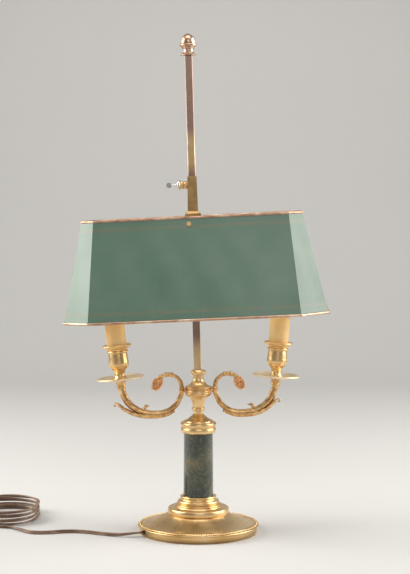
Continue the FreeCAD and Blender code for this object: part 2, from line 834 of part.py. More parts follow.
def branch_thickness(share):
    if share < 0.5:
        return ARM_ROOT_THICKNESS + (ARM_BELLY_THICKNESS - ARM_ROOT_THICKNESS) * 2 * share
    return ARM_BELLY_THICKNESS + (ARM_TOP_THICKNESS - ARM_BELLY_THICKNESS) * (2 * share - 1)


def scroll_ring(share, radius, width):
    place, along, _ = station(scroll_curve(), share)
    return Part.makeCylinder(radius, width, place - along * (width / 2), along)


def arm_hook():
    """The leaf bud that stands on the inside of the branch and curls towards the hub."""
    place, along, outward = station(branch_curve(), 0.6)
    root = place - outward * (ARM_BELLY_THICKNESS - 1.0)
    top = root - outward * HOOK_HEIGHT
    tip = root - outward * (HOOK_HEIGHT * 0.72) - along * (HOOK_HEIGHT * 0.55)
    middle = top - along * (HOOK_HEIGHT * 0.12)
    line = Part.Arc(root, middle, tip).toShape()
    rings = []
    for share, radius in ((0, HOOK_RADIUS), (1, HOOK_RADIUS * 0.62)):
        value = line.FirstParameter + share * (line.LastParameter - line.FirstParameter)
        ring = Part.Circle(line.valueAt(value), line.tangentAt(value), radius)
        rings.append(Part.Wire(ring.toShape()))
    horn = Part.Wire([line]).makePipeShell(rings, True)
    return horn.fuse(Part.makeSphere(HOOK_RADIUS * 0.75, tip))


def arm():
    branch = swept(branch_curve(), [ARM_ROOT_THICKNESS, ARM_BELLY_THICKNESS, ARM_TOP_THICKNESS])
    scroll = swept(scroll_curve(), [SCROLL_THICKNESS])
    ball = Part.makeSphere(ARM_BALL_RADIUS, Vector(arm_root, 0, 0))
    ball = ball.cut(Part.makeCylinder(HUB_RADIUS + 0.1, 30, Vector(0, 0, -15)))
    spigot = rod_between(Vector(HUB_CHAMBER_RADIUS + 0.5, 0, 0), Vector(arm_root, 0, 0),
                         ARM_SPIGOT_RADIUS)
    collar = stacked(turned([
        (0, -ARM_COLLAR_HEIGHT),
        (ARM_COLLAR_RADIUS - 1.8, -ARM_COLLAR_HEIGHT),
        (ARM_COLLAR_RADIUS - 1.0, -8.8, ARM_COLLAR_RADIUS - 1.6, -7.2),
        (ARM_COLLAR_RADIUS - 2.0, -6.2),
        (ARM_COLLAR_RADIUS - 0.6, -5.2, ARM_COLLAR_RADIUS - 0.4, -2.6),
        (ARM_COLLAR_RADIUS, -1.6),
        (ARM_COLLAR_RADIUS, 0),
        (0, 0),
    ]))
    rings = [scroll_ring(0.62, SCROLL_THICKNESS + 0.9, 1.8), scroll_ring(0.78, SCROLL_THICKNESS + 1.1, 2.0)]
    whole = branch.fuse([scroll, ball, spigot, collar, arm_hook()] + rings)
    wire_way = swept(branch_curve(), [WIRE_BORE])
    root_way = rod_between(Vector(0, 0, 0), Vector(arm_root, 0, 0), WIRE_BORE)
    nipple_way = stacked(Part.makeCylinder(NIPPLE_RADIUS, NIPPLE_DEPTH, Vector(0, 0, -NIPPLE_DEPTH)))
    top_way = stacked(Part.makeCylinder(WIRE_BORE, ARM_COLLAR_HEIGHT - 2, Vector(0, 0, 2 - ARM_COLLAR_HEIGHT)))
    corner_way = Part.makeSphere(WIRE_BORE, Vector(arm_root, 0, 0))
    return whole.cut([wire_way, root_way, corner_way, nipple_way, top_way])


def leaf_section(share, half_angle, lift):
    """A gutter across the branch's outer side, half_angle to each side."""
    place, _, outward = station(branch_curve(), share)
    sideways = Vector(0, 1, 0)
    inner = branch_thickness(share) + 0.15
    outer = inner + LEAF_THICKNESS
    centre = place + outward * lift

    def at(radius, degrees):
        angle = math.radians(degrees)
        return centre + outward * (radius * math.cos(angle)) + sideways * (radius * math.sin(angle))

    outer_arc = Part.Arc(at(outer, -half_angle), at(outer, 0), at(outer, half_angle)).toShape()
    inner_arc = Part.Arc(at(inner, half_angle), at(inner, 0), at(inner, -half_angle)).toShape()
    first = Part.makeLine(at(outer, half_angle), at(inner, half_angle))
    second = Part.makeLine(at(inner, -half_angle), at(outer, -half_angle))
    return Part.Wire([outer_arc, first, inner_arc, second])


def arm_leaf(tip_lift):
    """The acanthus leaf laid along the outside of the branch, its tip curled away by tip_lift."""
    first = 0.24
    last = 0.9
    count = 10
    sections = []
    for index in range(count + 1):
        share = index / count
        half_angle = 34 + 56 * math.sin(math.pi * min(1.0, 0.12 + 0.8 * share))
        lift = tip_lift * max(0.0, (share - 0.35) / 0.65) ** 1.6
        sections.append(leaf_section(first + share * (last - first), half_angle, lift))
    blade = Part.makeLoft(sections, True)
    place, along, outward = station(branch_curve(), last)
    reach = branch_thickness(last) + tip_lift + LEAF_THICKNESS + 0.4
    tip = place + outward * reach + along * 0.6
    half = CURL_WIDTH / 2
    curl = Part.makeCylinder(CURL_RADIUS, CURL_WIDTH, tip - Vector(0, half, 0), Vector(0, 1, 0))
    return blade.fuse(curl)


def pine_cone():
    """A cone of stacked scales hanging from the scroll's end."""
    place, along, _ = station(scroll_curve(), 1.0)
    rows = 6
    outline = [(0, 0), (SCROLL_THICKNESS + 0.4, 0)]
    for row in range(rows):
        share = (row + 0.6) / rows
        swell = CONE_RADIUS * math.sin(math.pi * (0.22 + 0.7 * share)) ** 0.7
        low = 0.6 + row * (CONE_LENGTH - 2.0) / rows
        outline.append((swell - 1.1, low))
        outline.append((swell, low + 1.4))
        outline.append((swell - 0.5, low + 2.5))
    outline.append((1.4, CONE_LENGTH - 0.6))
    outline.append((0, CONE_LENGTH))
    cone = turned(outline)
    turn = FreeCAD.Rotation(AXIS_Z, along)
    cone.Placement = FreeCAD.Placement(place, turn)
    return cone


def drip_pan():
    radius = PAN_RADIUS
    wall = PAN_WALL
    return stacked(turned([
        (NIPPLE_RADIUS + LOOSE_FIT, 0),
        (9.0, 0),
        (19.0, 0.1, radius - 6.0, PAN_DEPTH - 3.2),
        (radius - 1.0, PAN_DEPTH - 2.4),
        (radius, PAN_DEPTH - 1.1, radius - 1.0, PAN_DEPTH),
        (radius - 4.2, PAN_DEPTH - 0.2),
        (radius - 6.0, PAN_DEPTH - 1.4),
        (18.0, wall + 0.2, 9.0, wall),
        (NIPPLE_RADIUS + LOOSE_FIT, wall),
    ]))


def candle_cup():
    low = PAN_WALL
    edge = CUP_RADIUS
    wall = CUP_WALL
    foot = low + CUP_FOOT_HEIGHT
    top = low + CUP_HEIGHT
    return stacked(turned([
        (NIPPLE_RADIUS + LOOSE_FIT, low),
        (8.8, low),
        (8.8, low + 1.8),
        (6.9, foot - 7.4, 7.3, foot - 2.6),
        (8.8, foot + 0.6, 11.0, foot + 2.4),
        (edge, foot + 7.6, edge, foot + 12.5),
        (edge - 0.5, foot + 18.0, edge - 1.1, foot + 22.6),
        (edge - 1.1, top - 4.9),
        (edge + 0.8, top - 3.3, edge - 0.6, top - 1.7),
        (edge + 0.2, top),
        (edge - 1.1 - wall, top),
        (edge - 1.4 - wall, foot + 18.0, edge - wall, foot + 9.0),
        (10.0, foot + 5.0, 8.0, foot + 4.0),
        (8.0, foot),
        (NIPPLE_RADIUS + LOOSE_FIT, foot),
    ]))


cup_floor = PAN_WALL + CUP_FOOT_HEIGHT
cup_top = PAN_WALL + CUP_HEIGHT
candle_foot = cup_top + 2.0
candle_top = candle_foot + CANDLE_LENGTH


def saucer():
    """The turned ring on the cup's mouth, on which the candle stands."""
    low = cup_top
    radius = SAUCER_RADIUS
    hole = CANDLE_RADIUS - CANDLE_WALL - 0.6
    return stacked(turned([
        (hole, low),
        (CUP_RADIUS + 0.2, low),
        (radius - 3.0, low + 1.2, radius - 1.0, low + 3.4),
        (radius, low + 4.8, radius - 1.4, low + SAUCER_HEIGHT),
        (radius - 3.4, low + SAUCER_HEIGHT - 0.8),
        (CANDLE_RADIUS + 1.2, low + 2.6),
        (CANDLE_RADIUS + LOOSE_FIT, low + 2.0),
        (hole, low + 2.0),
    ]))


def candle_sleeve():
    return stacked(ring_of(CANDLE_RADIUS, CANDLE_RADIUS - CANDLE_WALL, candle_foot, candle_top))


def nipple():
    return stacked(ring_of(NIPPLE_RADIUS, NIPPLE_BORE, LOOSE_FIT - NIPPLE_DEPTH, cup_floor + 5.0))


def lamp_holder():
    top = candle_top - 1.5
    shell = HOLDER_RADIUS
    seat = top - BULB_CAP_LENGTH - 4.0
    return stacked(turned([
        (NIPPLE_RADIUS, cup_floor),
        (HOLDER_STEM_RADIUS, cup_floor),
        (HOLDER_STEM_RADIUS, seat - 14.0),
        (shell, seat - 10.0),
        (shell, top - 1.0),
        (shell - 1.0, top),
        (BULB_CAP_RADIUS + LOOSE_FIT, top),
        (BULB_CAP_RADIUS + LOOSE_FIT, seat),
        (3.0, seat),
        (3.0, cup_floor + 5.0),
        (NIPPLE_RADIUS, cup_floor + 5.0),
    ]))


def bulb_cap():
    high = candle_top - 1.5
    low = high - BULB_CAP_LENGTH - 3.6
    radius = BULB_CAP_RADIUS
    return stacked(turned([
        (0, low),
        (2.4, low),
        (2.4, low + 1.2),
        (radius - 1.4, low + 4.0),
        (radius, low + 5.0),
        (radius, high + 1.0),
        (radius + 1.6, high + 2.4),
        (radius + 1.6, high + 4.0),
        (0, high + 4.0),
    ]))


def bulb_glass():
    low = candle_top + 2.5
    high = low + BULB_LENGTH
    radius = BULB_RADIUS
    return stacked(turned([
        (0, low),
        (BULB_CAP_RADIUS + 1.4, low),
        (radius - 2.6, low + 10.0, radius, low + 24.0),
        (radius - 3.6, low + 44.0, 6.0, high - 12.0),
        (3.0, high - 5.6, 1.6, high),
        (0, high),
    ]))


def arm_wire(side):
    """One branch's lead, from the connector up the tie tube and out to its lamp holder."""
    direction = exit_direction()
    across = Vector(-direction.y, direction.x, 0) * (side * WIRE_OFFSET)
    inside = strand([
        exit_point(CONNECTOR_REACH) + across,
        exit_point(0) + across,
        across + Vector(0, 0, hub_middle),
        Vector(side * (HUB_CHAMBER_RADIUS - 2), 0, hub_middle),
    ], WIRE_RADIUS)
    root = rod_between(Vector(HUB_CHAMBER_RADIUS - 2, 0, 0), Vector(arm_root, 0, 0), WIRE_RADIUS)
    along = swept(branch_curve(), [WIRE_RADIUS])
    top = stacked(Part.makeCylinder(WIRE_RADIUS, cup_floor + 2 + ARM_COLLAR_HEIGHT,
                                    Vector(0, 0, 2 - ARM_COLLAR_HEIGHT)))
    corner = Part.makeSphere(WIRE_RADIUS, Vector(arm_root, 0, 0))
    outside = placed_on_side(root.fuse([along, top, corner]), side)
    joint = Part.makeSphere(WIRE_RADIUS, Vector(side * (HUB_CHAMBER_RADIUS - 2), 0, hub_middle))
    return inside.fuse([outside, joint])


# Cord, its connector in the base, its hank, switch and plug

def routed(name, points):
    """Straight runs joined by tangent arcs, as one wire."""
    edges = []
    last = points[0]
    radii = []
    for before, corner, after in zip(points, points[1:], points[2:]):
        back = (before - corner)
        ahead = (after - corner)
        shorter = min(back.Length, ahead.Length)
        half_turn = (math.pi - back.getAngle(ahead)) / 2
        reach = 0.45 * shorter
        radii.append(round(reach / math.tan(half_turn), 1))
        back.normalize()
        ahead.normalize()
        start = corner + back * reach
        end = corner + ahead * reach
        inward = (back + ahead).normalize()
        radius = reach / math.tan(half_turn)
        middle = corner + inward * (radius / math.cos(half_turn) - radius)
        edges.append(Part.LineSegment(last, start).toShape())
        edges.append(Part.Arc(start, middle, end).toShape())
        last = end
    edges.append(Part.LineSegment(last, points[-1]).toShape())
    print(name, "radii", radii)
    return Part.Wire(edges)


def tube_along(name, wire, diameter):
    edge = wire.Edges[0]
    start = edge.valueAt(edge.FirstParameter)
    direction = edge.tangentAt(edge.FirstParameter)
    ring = Part.Wire(Part.Circle(start, direction, diameter / 2).toShape())
    body = wire.makePipeShell([ring], True)
    plain = math.pi * diameter ** 2 / 4 * wire.Length
    print(name, "length", round(wire.Length, 1), "volume share", round(body.Volume / plain, 4))
    return body


def cord_tail_points():
    start = exit_point(wall_radius + GROMMET_FLANGE_WIDTH)
    floor = cord_radius
    return [
        start,
        start + exit_direction() * 13,
        Vector(-104, -35, 3.2),
        Vector(-124, -27.5, floor),
        Vector(-149, -13.5, floor),
        Vector(-176, -9, floor),
        Vector(-204, -19.5, floor),
        Vector(-227, -16, floor),
        Vector(-243, 6, floor),
        Vector(-259, 18.5, floor),
        Vector(-281, 20.5, floor),
        Vector(-304, 28, floor),
        Vector(-320, 49, floor),
        Vector(-320, HANK_CENTRE.y - HANK_RUN / 2, floor),
    ]


def hank_side(index):
    """Distance of a run from the hank's middle: in over one layer, out over the next."""
    cycle = index % 4
    inward = cycle if cycle < 3 else 4 - cycle
    return HANK_RADIUS - HANK_STEP * inward


def hank_wire():
    """Oval loops that spiral in and out, with each climb along a run at the left."""
    edges = []
    run_count = 2 * HANK_LAYERS + 1
    low_y = HANK_CENTRE.y - HANK_RUN / 2
    high_y = HANK_CENTRE.y + HANK_RUN / 2
    height = cord_radius
    for index in range(run_count):
        heading_back = index % 2 == 0
        side = -1 if heading_back else 1
        x = HANK_CENTRE.x + side * hank_side(index)
        start_y = low_y if heading_back else high_y
        end_y = high_y if heading_back else low_y
        climbs = heading_back and 0 < index < run_count - 1
        start = Vector(x, start_y, height)
        if climbs:
            middle = Vector(x, (start_y + end_y) / 2, height + HANK_LAYER / 2)
            radius = (HANK_RUN ** 2 + HANK_LAYER ** 2) / (4 * HANK_LAYER)
            swing = math.asin(HANK_RUN / 2 / radius) / 2
            sag = radius * (1 - math.cos(swing))
            across = radius * math.sin(swing)
            step = 1 if end_y > start_y else -1
            first_mid = Vector(x, start_y + step * across, height + sag)
            height += HANK_LAYER
            end = Vector(x, end_y, height)
            last_mid = Vector(x, end_y - step * across, height - sag)
            edges.append(Part.Arc(start, first_mid, middle).toShape())
            edges.append(Part.Arc(middle, last_mid, end).toShape())
        else:
            end = Vector(x, end_y, height)
            edges.append(Part.makeLine(start, end))
        if index < run_count - 1:
            next_x = HANK_CENTRE.x - side * hank_side(index + 1)
            radius = abs(next_x - x) / 2
            bulge = radius if heading_back else -radius
            top = Vector((x + next_x) / 2, end_y + bulge, height)
            edges.append(Part.Arc(end, top, Vector(next_x, end_y, height)).toShape())
    return Part.Wire(edges)


def least_self_gap(wire, spacing, skip):
    """Smallest distance between points of the line that lie further apart along it than skip."""
    points = wire.discretize(Distance=spacing)
    apart = int(skip / spacing)
    least = 1e9
    for index, first in enumerate(points):
        for second in points[index + apart:]:
            least = min(least, first.distanceToPoint(second))
    return least


hank_end = Vector(HANK_CENTRE.x - HANK_RADIUS, HANK_CENTRE.y + HANK_RUN / 2,
                  cord_radius + HANK_LAYER * (HANK_LAYERS - 1))
switch_start = Vector(-368, 118, SWITCH_HEIGHT / 2)
switch_end = switch_start - Vector(0, SWITCH_LENGTH, 0)
plug_start = Vector(-338, -14, PLUG_HEIGHT / 2)


def cord_lead_points():
    floor = cord_radius
    return [
        hank_end,
        hank_end + Vector(0, 11, 0),
        hank_end + Vector(-2, 25, -5.0),
        Vector(-328, 146, 6.0),
        Vector(-342, 158, floor),
        Vector(-359, 153, floor + 0.5),
        switch_start + Vector(0, 15, 0),
        switch_start,
    ]


def cord_end_points():
    floor = cord_radius
    return [
        switch_end,
        switch_end + Vector(0, -11, 0),
        Vector(-369, 32, floor + 1.0),
        Vector(-373, 14, floor),
        Vector(-369, -4, floor + 0.5),
        plug_start + Vector(-14, 0, 0),
        plug_start,
    ]


def cord_inner():
    """The cord's straight length inside the base."""
    inner = wall_radius - BASE_WALL - 1.0
    return rod_between(exit_point(inner), exit_point(CONNECTOR_REACH + CONNECTOR_SIZE.x), cord_radius)


def wire_connector():
    size = CONNECTOR_SIZE
    corner = Vector(-CONNECTOR_REACH - size.x, -size.y / 2, CORD_EXIT_HEIGHT - size.z / 2)
    block = Part.makeBox(size.x, size.y, size.z, corner)
    block.rotate(Vector(0, 0, 0), AXIS_Z, CORD_EXIT_ANGLE - 180)
    return block


def rounded_block(length, width, height, corner, edge):
    """A block along Y with its foot on z = 0, its corners and upper edges rounded."""
    block = Part.makeBox(width, length, height, Vector(-width / 2, -length, 0))
    block = block.makeFillet(corner, [e for e in block.Edges if abs(e.tangentAt(0).z) > 0.9])
    top = [e for e in block.Edges if e.BoundBox.ZMin > height - 1e-6]
    return block.makeFillet(edge, top)


def rocker_axle(radius):
    """The rocker's axle, across the middle of the switch."""
    half = ROCKER_WIDTH / 2 + AXLE_REACH
    middle = Vector(switch_start.x, switch_start.y - SWITCH_LENGTH / 2, SWITCH_HEIGHT - ROCKER_DEPTH)
    return rod_between(middle - Vector(half, 0, 0), middle + Vector(half, 0, 0), radius)


def switch_body():
    body = rounded_block(SWITCH_LENGTH, SWITCH_WIDTH, SWITCH_HEIGHT, 8.0, 3.0)
    slot = box_around(0, -SWITCH_LENGTH / 2, SWITCH_HEIGHT - 8.0, ROCKER_WIDTH + 2 * BODY_GAP,
                      ROCKER_LENGTH + 2 * BODY_GAP, 10.0)
    body = body.cut(slot)
    body.translate(Vector(switch_start.x, switch_start.y, 0))
    return body.cut(rocker_axle(AXLE_RADIUS + SLIDE_FIT))


def switch_rocker():
    """A shallow vee seen from the side, rocking on its middle."""
    half = ROCKER_LENGTH / 2 - 0.4
    pivot = SWITCH_HEIGHT - ROCKER_DEPTH
    rise = 2.4
    dip = half * math.tan(math.radians(ROCKER_TRAVEL))
    outline = [
        Vector(0, -half, pivot + rise + dip),
        Vector(0, 0, pivot + rise - 0.6),
        Vector(0, half, pivot + rise + dip),
        Vector(0, half, pivot - 0.4 + dip),
        Vector(0, 0, pivot - 2.2),
        Vector(0, -half, pivot - 0.4 + dip),
    ]
    face = Part.Face(Part.makePolygon(outline + [outline[0]]))
    face.translate(Vector(-ROCKER_WIDTH / 2, 0, 0))
    rocker = face.extrude(Vector(ROCKER_WIDTH, 0, 0))
    rocker.rotate(Vector(0, 0, pivot), Vector(1, 0, 0), ROCKER_TRAVEL)
    rocker.translate(Vector(switch_start.x, switch_start.y - SWITCH_LENGTH / 2, 0))
    return rocker.fuse(rocker_axle(AXLE_RADIUS))


def plug_body():
    body = rounded_block(PLUG_LENGTH, PLUG_WIDTH, PLUG_HEIGHT, 6.0, 3.0)
    body.rotate(Vector(0, 0, 0), AXIS_Z, 90)
    body.translate(Vector(plug_start.x, plug_start.y, 0))
    return body


def plug_pins():
    pins = []
    for side in (-1, 1):
        root = plug_start + Vector(PLUG_LENGTH, side * PIN_SPACING / 2, 0)
        pins.append(rod_between(root, root + Vector(PIN_LENGTH - PIN_RADIUS, 0, 0), PIN_RADIUS)
                    .fuse(Part.makeSphere(PIN_RADIUS, root + Vector(PIN_LENGTH - PIN_RADIUS, 0, 0))
                          .common(box_around(root.x + PIN_LENGTH, root.y, 0, 2 * PIN_LENGTH, 20, 20))))
    return solids(pins)


keep("base_plate", base_plate())
keep("base_felt", base_felt())
keep("cord_grommet", cord_grommet())
keep("foot_ring", foot_ring())
keep("column_socket", column_socket())
keep("column", column())
keep("capital", capital())
keep("vase", vase())
keep("arm_hub", arm_hub())
keep("baluster_cap", baluster_cap())
keep("tie_tube", tie_tube())
keep("tie_washer", tie_washer())
keep("tie_nut", tie_nut())
keep("rod", rod())
keep("finial", finial())
keep("shade_body", shade_body())
keep("shade_bottom_rim", shade_rim(0))
keep("shade_top_rim", shade_rim(1))
keep("strap", strap())
keep("strap_screws", strap_screws())
keep("sleeve", sleeve())
keep("screw_boss", screw_boss())
keep("clamp_shoe", clamp_shoe())
keep("thumb_screw", thumb_screw())

right_pieces = {
    "arm": arm(),
    "pine_cone": pine_cone(),
    "drip_pan": drip_pan(),
    "candle_cup": candle_cup(),
    "saucer": saucer(),
    "candle_sleeve": candle_sleeve(),
    "nipple": nipple(),
    "lamp_holder": lamp_holder(),
    "bulb_cap": bulb_cap(),
    "bulb_glass": bulb_glass(),
}
for side, word in ((-1, "left"), (1, "right")):
    for name, shape in right_pieces.items():
        keep(name + "_" + word, placed_on_side(shape, side))
    tip_lift = LEFT_LEAF_LIFT if side < 0 else RIGHT_LEAF_LIFT
    keep("arm_leaf_" + word, placed_on_side(arm_leaf(tip_lift), side))
    keep("arm_wire_" + word, arm_wire(side))

keep("wire_connector", wire_connector())
keep("cord_inner", cord_inner())
keep("cord_tail", tube_along("cord_tail", routed("cord_tail", cord_tail_points()), CORD_DIAMETER))
hank_line = hank_wire()
keep("cord_hank", tube_along("cord_hank", hank_line, CORD_DIAMETER))
print("cord_hank least gap", round(least_self_gap(hank_line, 2.0, 60) - CORD_DIAMETER, 2))
keep("cord_lead", tube_along("cord_lead", routed("cord_lead", cord_lead_points()), CORD_DIAMETER))
keep("switch_body", switch_body())
keep("switch_rocker", switch_rocker())
keep("cord_end", tube_along("cord_end", routed("cord_end", cord_end_points()), CORD_DIAMETER))
keep("plug_body", plug_body())
keep("plug_pins", plug_pins())

os.makedirs("parts", exist_ok=True)
for name, shape in nodes.items():
    shape.exportStep("parts/" + name + ".step")
print(len(nodes), "nodes")
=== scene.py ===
import math

import bmesh
import bpy
from mathutils import Matrix, Vector


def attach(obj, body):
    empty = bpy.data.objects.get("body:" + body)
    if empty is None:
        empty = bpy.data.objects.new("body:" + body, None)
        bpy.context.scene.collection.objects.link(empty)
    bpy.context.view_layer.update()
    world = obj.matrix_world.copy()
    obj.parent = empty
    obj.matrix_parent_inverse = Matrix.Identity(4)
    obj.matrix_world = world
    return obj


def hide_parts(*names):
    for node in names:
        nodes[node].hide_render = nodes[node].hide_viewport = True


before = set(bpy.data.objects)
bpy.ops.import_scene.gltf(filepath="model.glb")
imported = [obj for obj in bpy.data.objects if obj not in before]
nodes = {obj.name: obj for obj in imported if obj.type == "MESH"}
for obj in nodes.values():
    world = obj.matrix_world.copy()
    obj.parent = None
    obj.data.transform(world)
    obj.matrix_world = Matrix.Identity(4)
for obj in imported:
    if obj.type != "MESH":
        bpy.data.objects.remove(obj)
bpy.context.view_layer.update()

mm = 0.001

# Camera, floor and lights

photoHeight = 574.0
focalPixels = 1500.0
sensorSize = 36.0
downTilt = 3.32
camera = bpy.data.cameras.new("camera")
camera.sensor_fit = "AUTO"
camera.sensor_width = sensorSize
camera.lens = sensorSize * focalPixels / photoHeight
camera.clip_end = 50.0
cameraObject = bpy.data.objects.new("camera", camera)
cameraObject.location = (0.0089, -2.0, 0.446)
cameraObject.rotation_euler = (math.radians(90.0 - downTilt), 0, 0)
bpy.context.collection.objects.link(cameraObject)
bpy.context.scene.camera = cameraObject
bpy.context.scene.view_settings.view_transform = "Standard"


# Materials

def newMaterial(name):
    material = bpy.data.materials.new(name)
    material.use_nodes = True
    tree = material.node_tree
    return material, tree, tree.nodes["Principled BSDF"]


def objectNoise(tree, scale, detail=4.0, roughness=0.55, distortion=0.0, stretch=(1, 1, 1)):
    coords = tree.nodes.new("ShaderNodeTexCoord")
    mapping = tree.nodes.new("ShaderNodeMapping")
    mapping.inputs["Scale"].default_value = stretch
    tree.links.new(coords.outputs["Object"], mapping.inputs["Vector"])
    noise = tree.nodes.new("ShaderNodeTexNoise")
    noise.inputs["Scale"].default_value = scale
    noise.inputs["Detail"].default_value = detail
    noise.inputs["Roughness"].default_value = roughness
    noise.inputs["Distortion"].default_value = distortion
    tree.links.new(mapping.outputs["Vector"], noise.inputs["Vector"])
    return noise.outputs["Fac"]


def colourRamp(tree, factor, stops, interpolation="LINEAR"):
    ramp = tree.nodes.new("ShaderNodeValToRGB")
    ramp.color_ramp.interpolation = interpolation
    while len(ramp.color_ramp.elements) < len(stops):
        ramp.color_ramp.elements.new(0.5)
    for element, (place, colour) in zip(ramp.color_ramp.elements, stops):
        element.position = place
        element.color = (*colour, 1.0)
    tree.links.new(factor, ramp.inputs["Fac"])
    return ramp.outputs["Color"]


def valueRange(tree, factor, low, high, fromLow=0.3, fromHigh=0.7):
    spread = tree.nodes.new("ShaderNodeMapRange")
    spread.inputs["From Min"].default_value = fromLow
    spread.inputs["From Max"].default_value = fromHigh
    spread.inputs["To Min"].default_value = low
    spread.inputs["To Max"].default_value = high
    tree.links.new(factor, spread.inputs["Value"])
    return spread.outputs["Result"]


def mixColour(tree, factor, first, second):
    mix = tree.nodes.new("ShaderNodeMix")
    mix.data_type = "RGBA"
    tree.links.new(factor, mix.inputs[0])
    for socket, value in ((mix.inputs[6], first), (mix.inputs[7], second)):
        if isinstance(value, tuple):
            socket.default_value = (*value, 1.0)
        else:
            tree.links.new(value, socket)
    return mix.outputs[2]


def addBump(tree, shader, height, strength, distance):
    bump = tree.nodes.new("ShaderNodeBump")
    bump.inputs["Strength"].default_value = strength
    bump.inputs["Distance"].default_value = distance
    tree.links.new(height, bump.inputs["Height"])
    tree.links.new(bump.outputs["Normal"], shader.inputs["Normal"])


# A worn surface: colour clouds, changing gloss and a fine grain
def surface(name, colours, scale, rough, metallic=0.0, bump=(300, 0.1, 0.0003), extra=None):
    material, tree, shader = newMaterial(name)
    places = [0.28 + 0.44 * i / max(1, len(colours) - 1) for i in range(len(colours))]
    clouds = objectNoise(tree, scale)
    tree.links.new(colourRamp(tree, clouds, list(zip(places, colours))), shader.inputs["Base Color"])
    gloss = objectNoise(tree, scale * 2.3, detail=6.0)
    tree.links.new(valueRange(tree, gloss, rough[0], rough[1]), shader.inputs["Roughness"])
    shader.inputs["Metallic"].default_value = metallic
    for socket, value in (extra or {}).items():
        shader.inputs[socket].default_value = value
    addBump(tree, shader, objectNoise(tree, bump[0]), bump[1], bump[2])
    return material


giltPaint = surface(
    "gilt", [(0.60, 0.38, 0.15), (0.80, 0.55, 0.26), (0.88, 0.67, 0.38)], 24,
    (0.25, 0.38), metallic=1.0, bump=(260, 0.04, 0.0003))
castGilt = surface(
    "castGilt", [(0.40, 0.19, 0.07), (0.72, 0.44, 0.19), (0.88, 0.64, 0.35)], 150,
    (0.28, 0.44), metallic=1.0, bump=(520, 0.18, 0.0004))
coneGilt = surface(
    "coneGilt", [(0.62, 0.26, 0.10), (0.93, 0.56, 0.29), (1.0, 0.80, 0.55)], 380,
    (0.22, 0.36), metallic=1.0, bump=(900, 0.3, 0.0004))
paleGilt = surface(
    "paleGilt", [(0.78, 0.60, 0.36), (0.88, 0.74, 0.52), (0.93, 0.82, 0.63)], 40,
    (0.38, 0.50), metallic=1.0, bump=(300, 0.05, 0.0003))
rimCopper = surface(
    "rimCopper", [(0.34, 0.19, 0.12), (0.52, 0.33, 0.22), (0.78, 0.60, 0.46)], 60,
    (0.26, 0.42), metallic=1.0, bump=(500, 0.1, 0.0003))
wornBrass = surface(
    "wornBrass", [(0.34, 0.20, 0.08), (0.50, 0.32, 0.14), (0.66, 0.46, 0.24)], 45,
    (0.26, 0.42), metallic=1.0, bump=(500, 0.1, 0.0003))
# Near-black brass for the trough under the base plate's beads: painted shade between the beads and the
# plate
paintedShadeBrass = surface(
    "paintedShadeBrass", [(0.050, 0.026, 0.010), (0.11, 0.060, 0.024)], 150, (0.5, 0.7), metallic=0.6)
nickel = surface(
    "nickel", [(0.66, 0.62, 0.55), (0.86, 0.83, 0.77), (0.92, 0.90, 0.86)], 120,
    (0.16, 0.28), metallic=1.0)
steel = surface(
    "steel", [(0.36, 0.35, 0.33), (0.55, 0.54, 0.52)], 90, (0.25, 0.45), metallic=1.0)
cordSkin = surface(
    "cordSkin", [(0.13, 0.075, 0.045), (0.22, 0.135, 0.085), (0.34, 0.225, 0.145)], 45,
    (0.30, 0.46), bump=(900, 0.10, 0.0002))
wireSkin = surface("wireSkin", [(0.62, 0.60, 0.55), (0.74, 0.72, 0.67)], 80, (0.35, 0.5))
brownPlastic = surface(
    "brownPlastic", [(0.030, 0.018, 0.012), (0.052, 0.030, 0.019)], 70, (0.26, 0.42),
    bump=(1200, 0.08, 0.0002))
whitePlastic = surface("whitePlastic", [(0.66, 0.64, 0.58), (0.75, 0.73, 0.68)], 60, (0.2, 0.35))
candleCard = surface(
    "candleCard", [(0.86, 0.40, 0.12), (0.98, 0.58, 0.22), (1.0, 0.72, 0.34)], 20,
    (0.42, 0.62), bump=(160, 0.10, 0.0005), extra={"Subsurface Weight": 0.12})
felt = surface(
    "felt", [(0.010, 0.030, 0.016), (0.022, 0.055, 0.030)], 240, (0.9, 1.0),
    bump=(1600, 0.6, 0.0006))
frostedGlass = surface(
    "frostedGlass", [(0.86, 0.84, 0.78), (0.92, 0.90, 0.85)], 30, (0.28, 0.4),
    extra={"Subsurface Weight": 0.2, "Coat Weight": 0.3})


# Brown lacquered brass, rubbed bright just over the foot and above the clamp's sleeve
def rodMaterial():
    material, tree, shader = newMaterial("rodBrass")
    coords = tree.nodes.new("ShaderNodeTexCoord")
    split = tree.nodes.new("ShaderNodeSeparateXYZ")
    tree.links.new(coords.outputs["Object"], split.inputs[0])
    height = valueRange(tree, split.outputs["Z"], 0.0, 1.0, 0.219, 0.637)
    brown = (0.36, 0.24, 0.19)
    bright = (0.80, 0.58, 0.32)
    bands = colourRamp(tree, height, [
        (0.0, bright), (0.05, bright), (0.11, brown), (0.62, brown),
        (0.66, bright), (0.72, bright), (0.77, brown), (1.0, brown)])
    grime = valueRange(tree, objectNoise(tree, 45, detail=6.0), 0.0, 0.45)
    tree.links.new(mixColour(tree, grime, bands, (0.20, 0.12, 0.09)), shader.inputs["Base Color"])
    tree.links.new(valueRange(tree, objectNoise(tree, 90), 0.26, 0.44), shader.inputs["Roughness"])
    shader.inputs["Metallic"].default_value = 1.0
    addBump(tree, shader, objectNoise(tree, 500), 0.10, 0.0003)
    return material


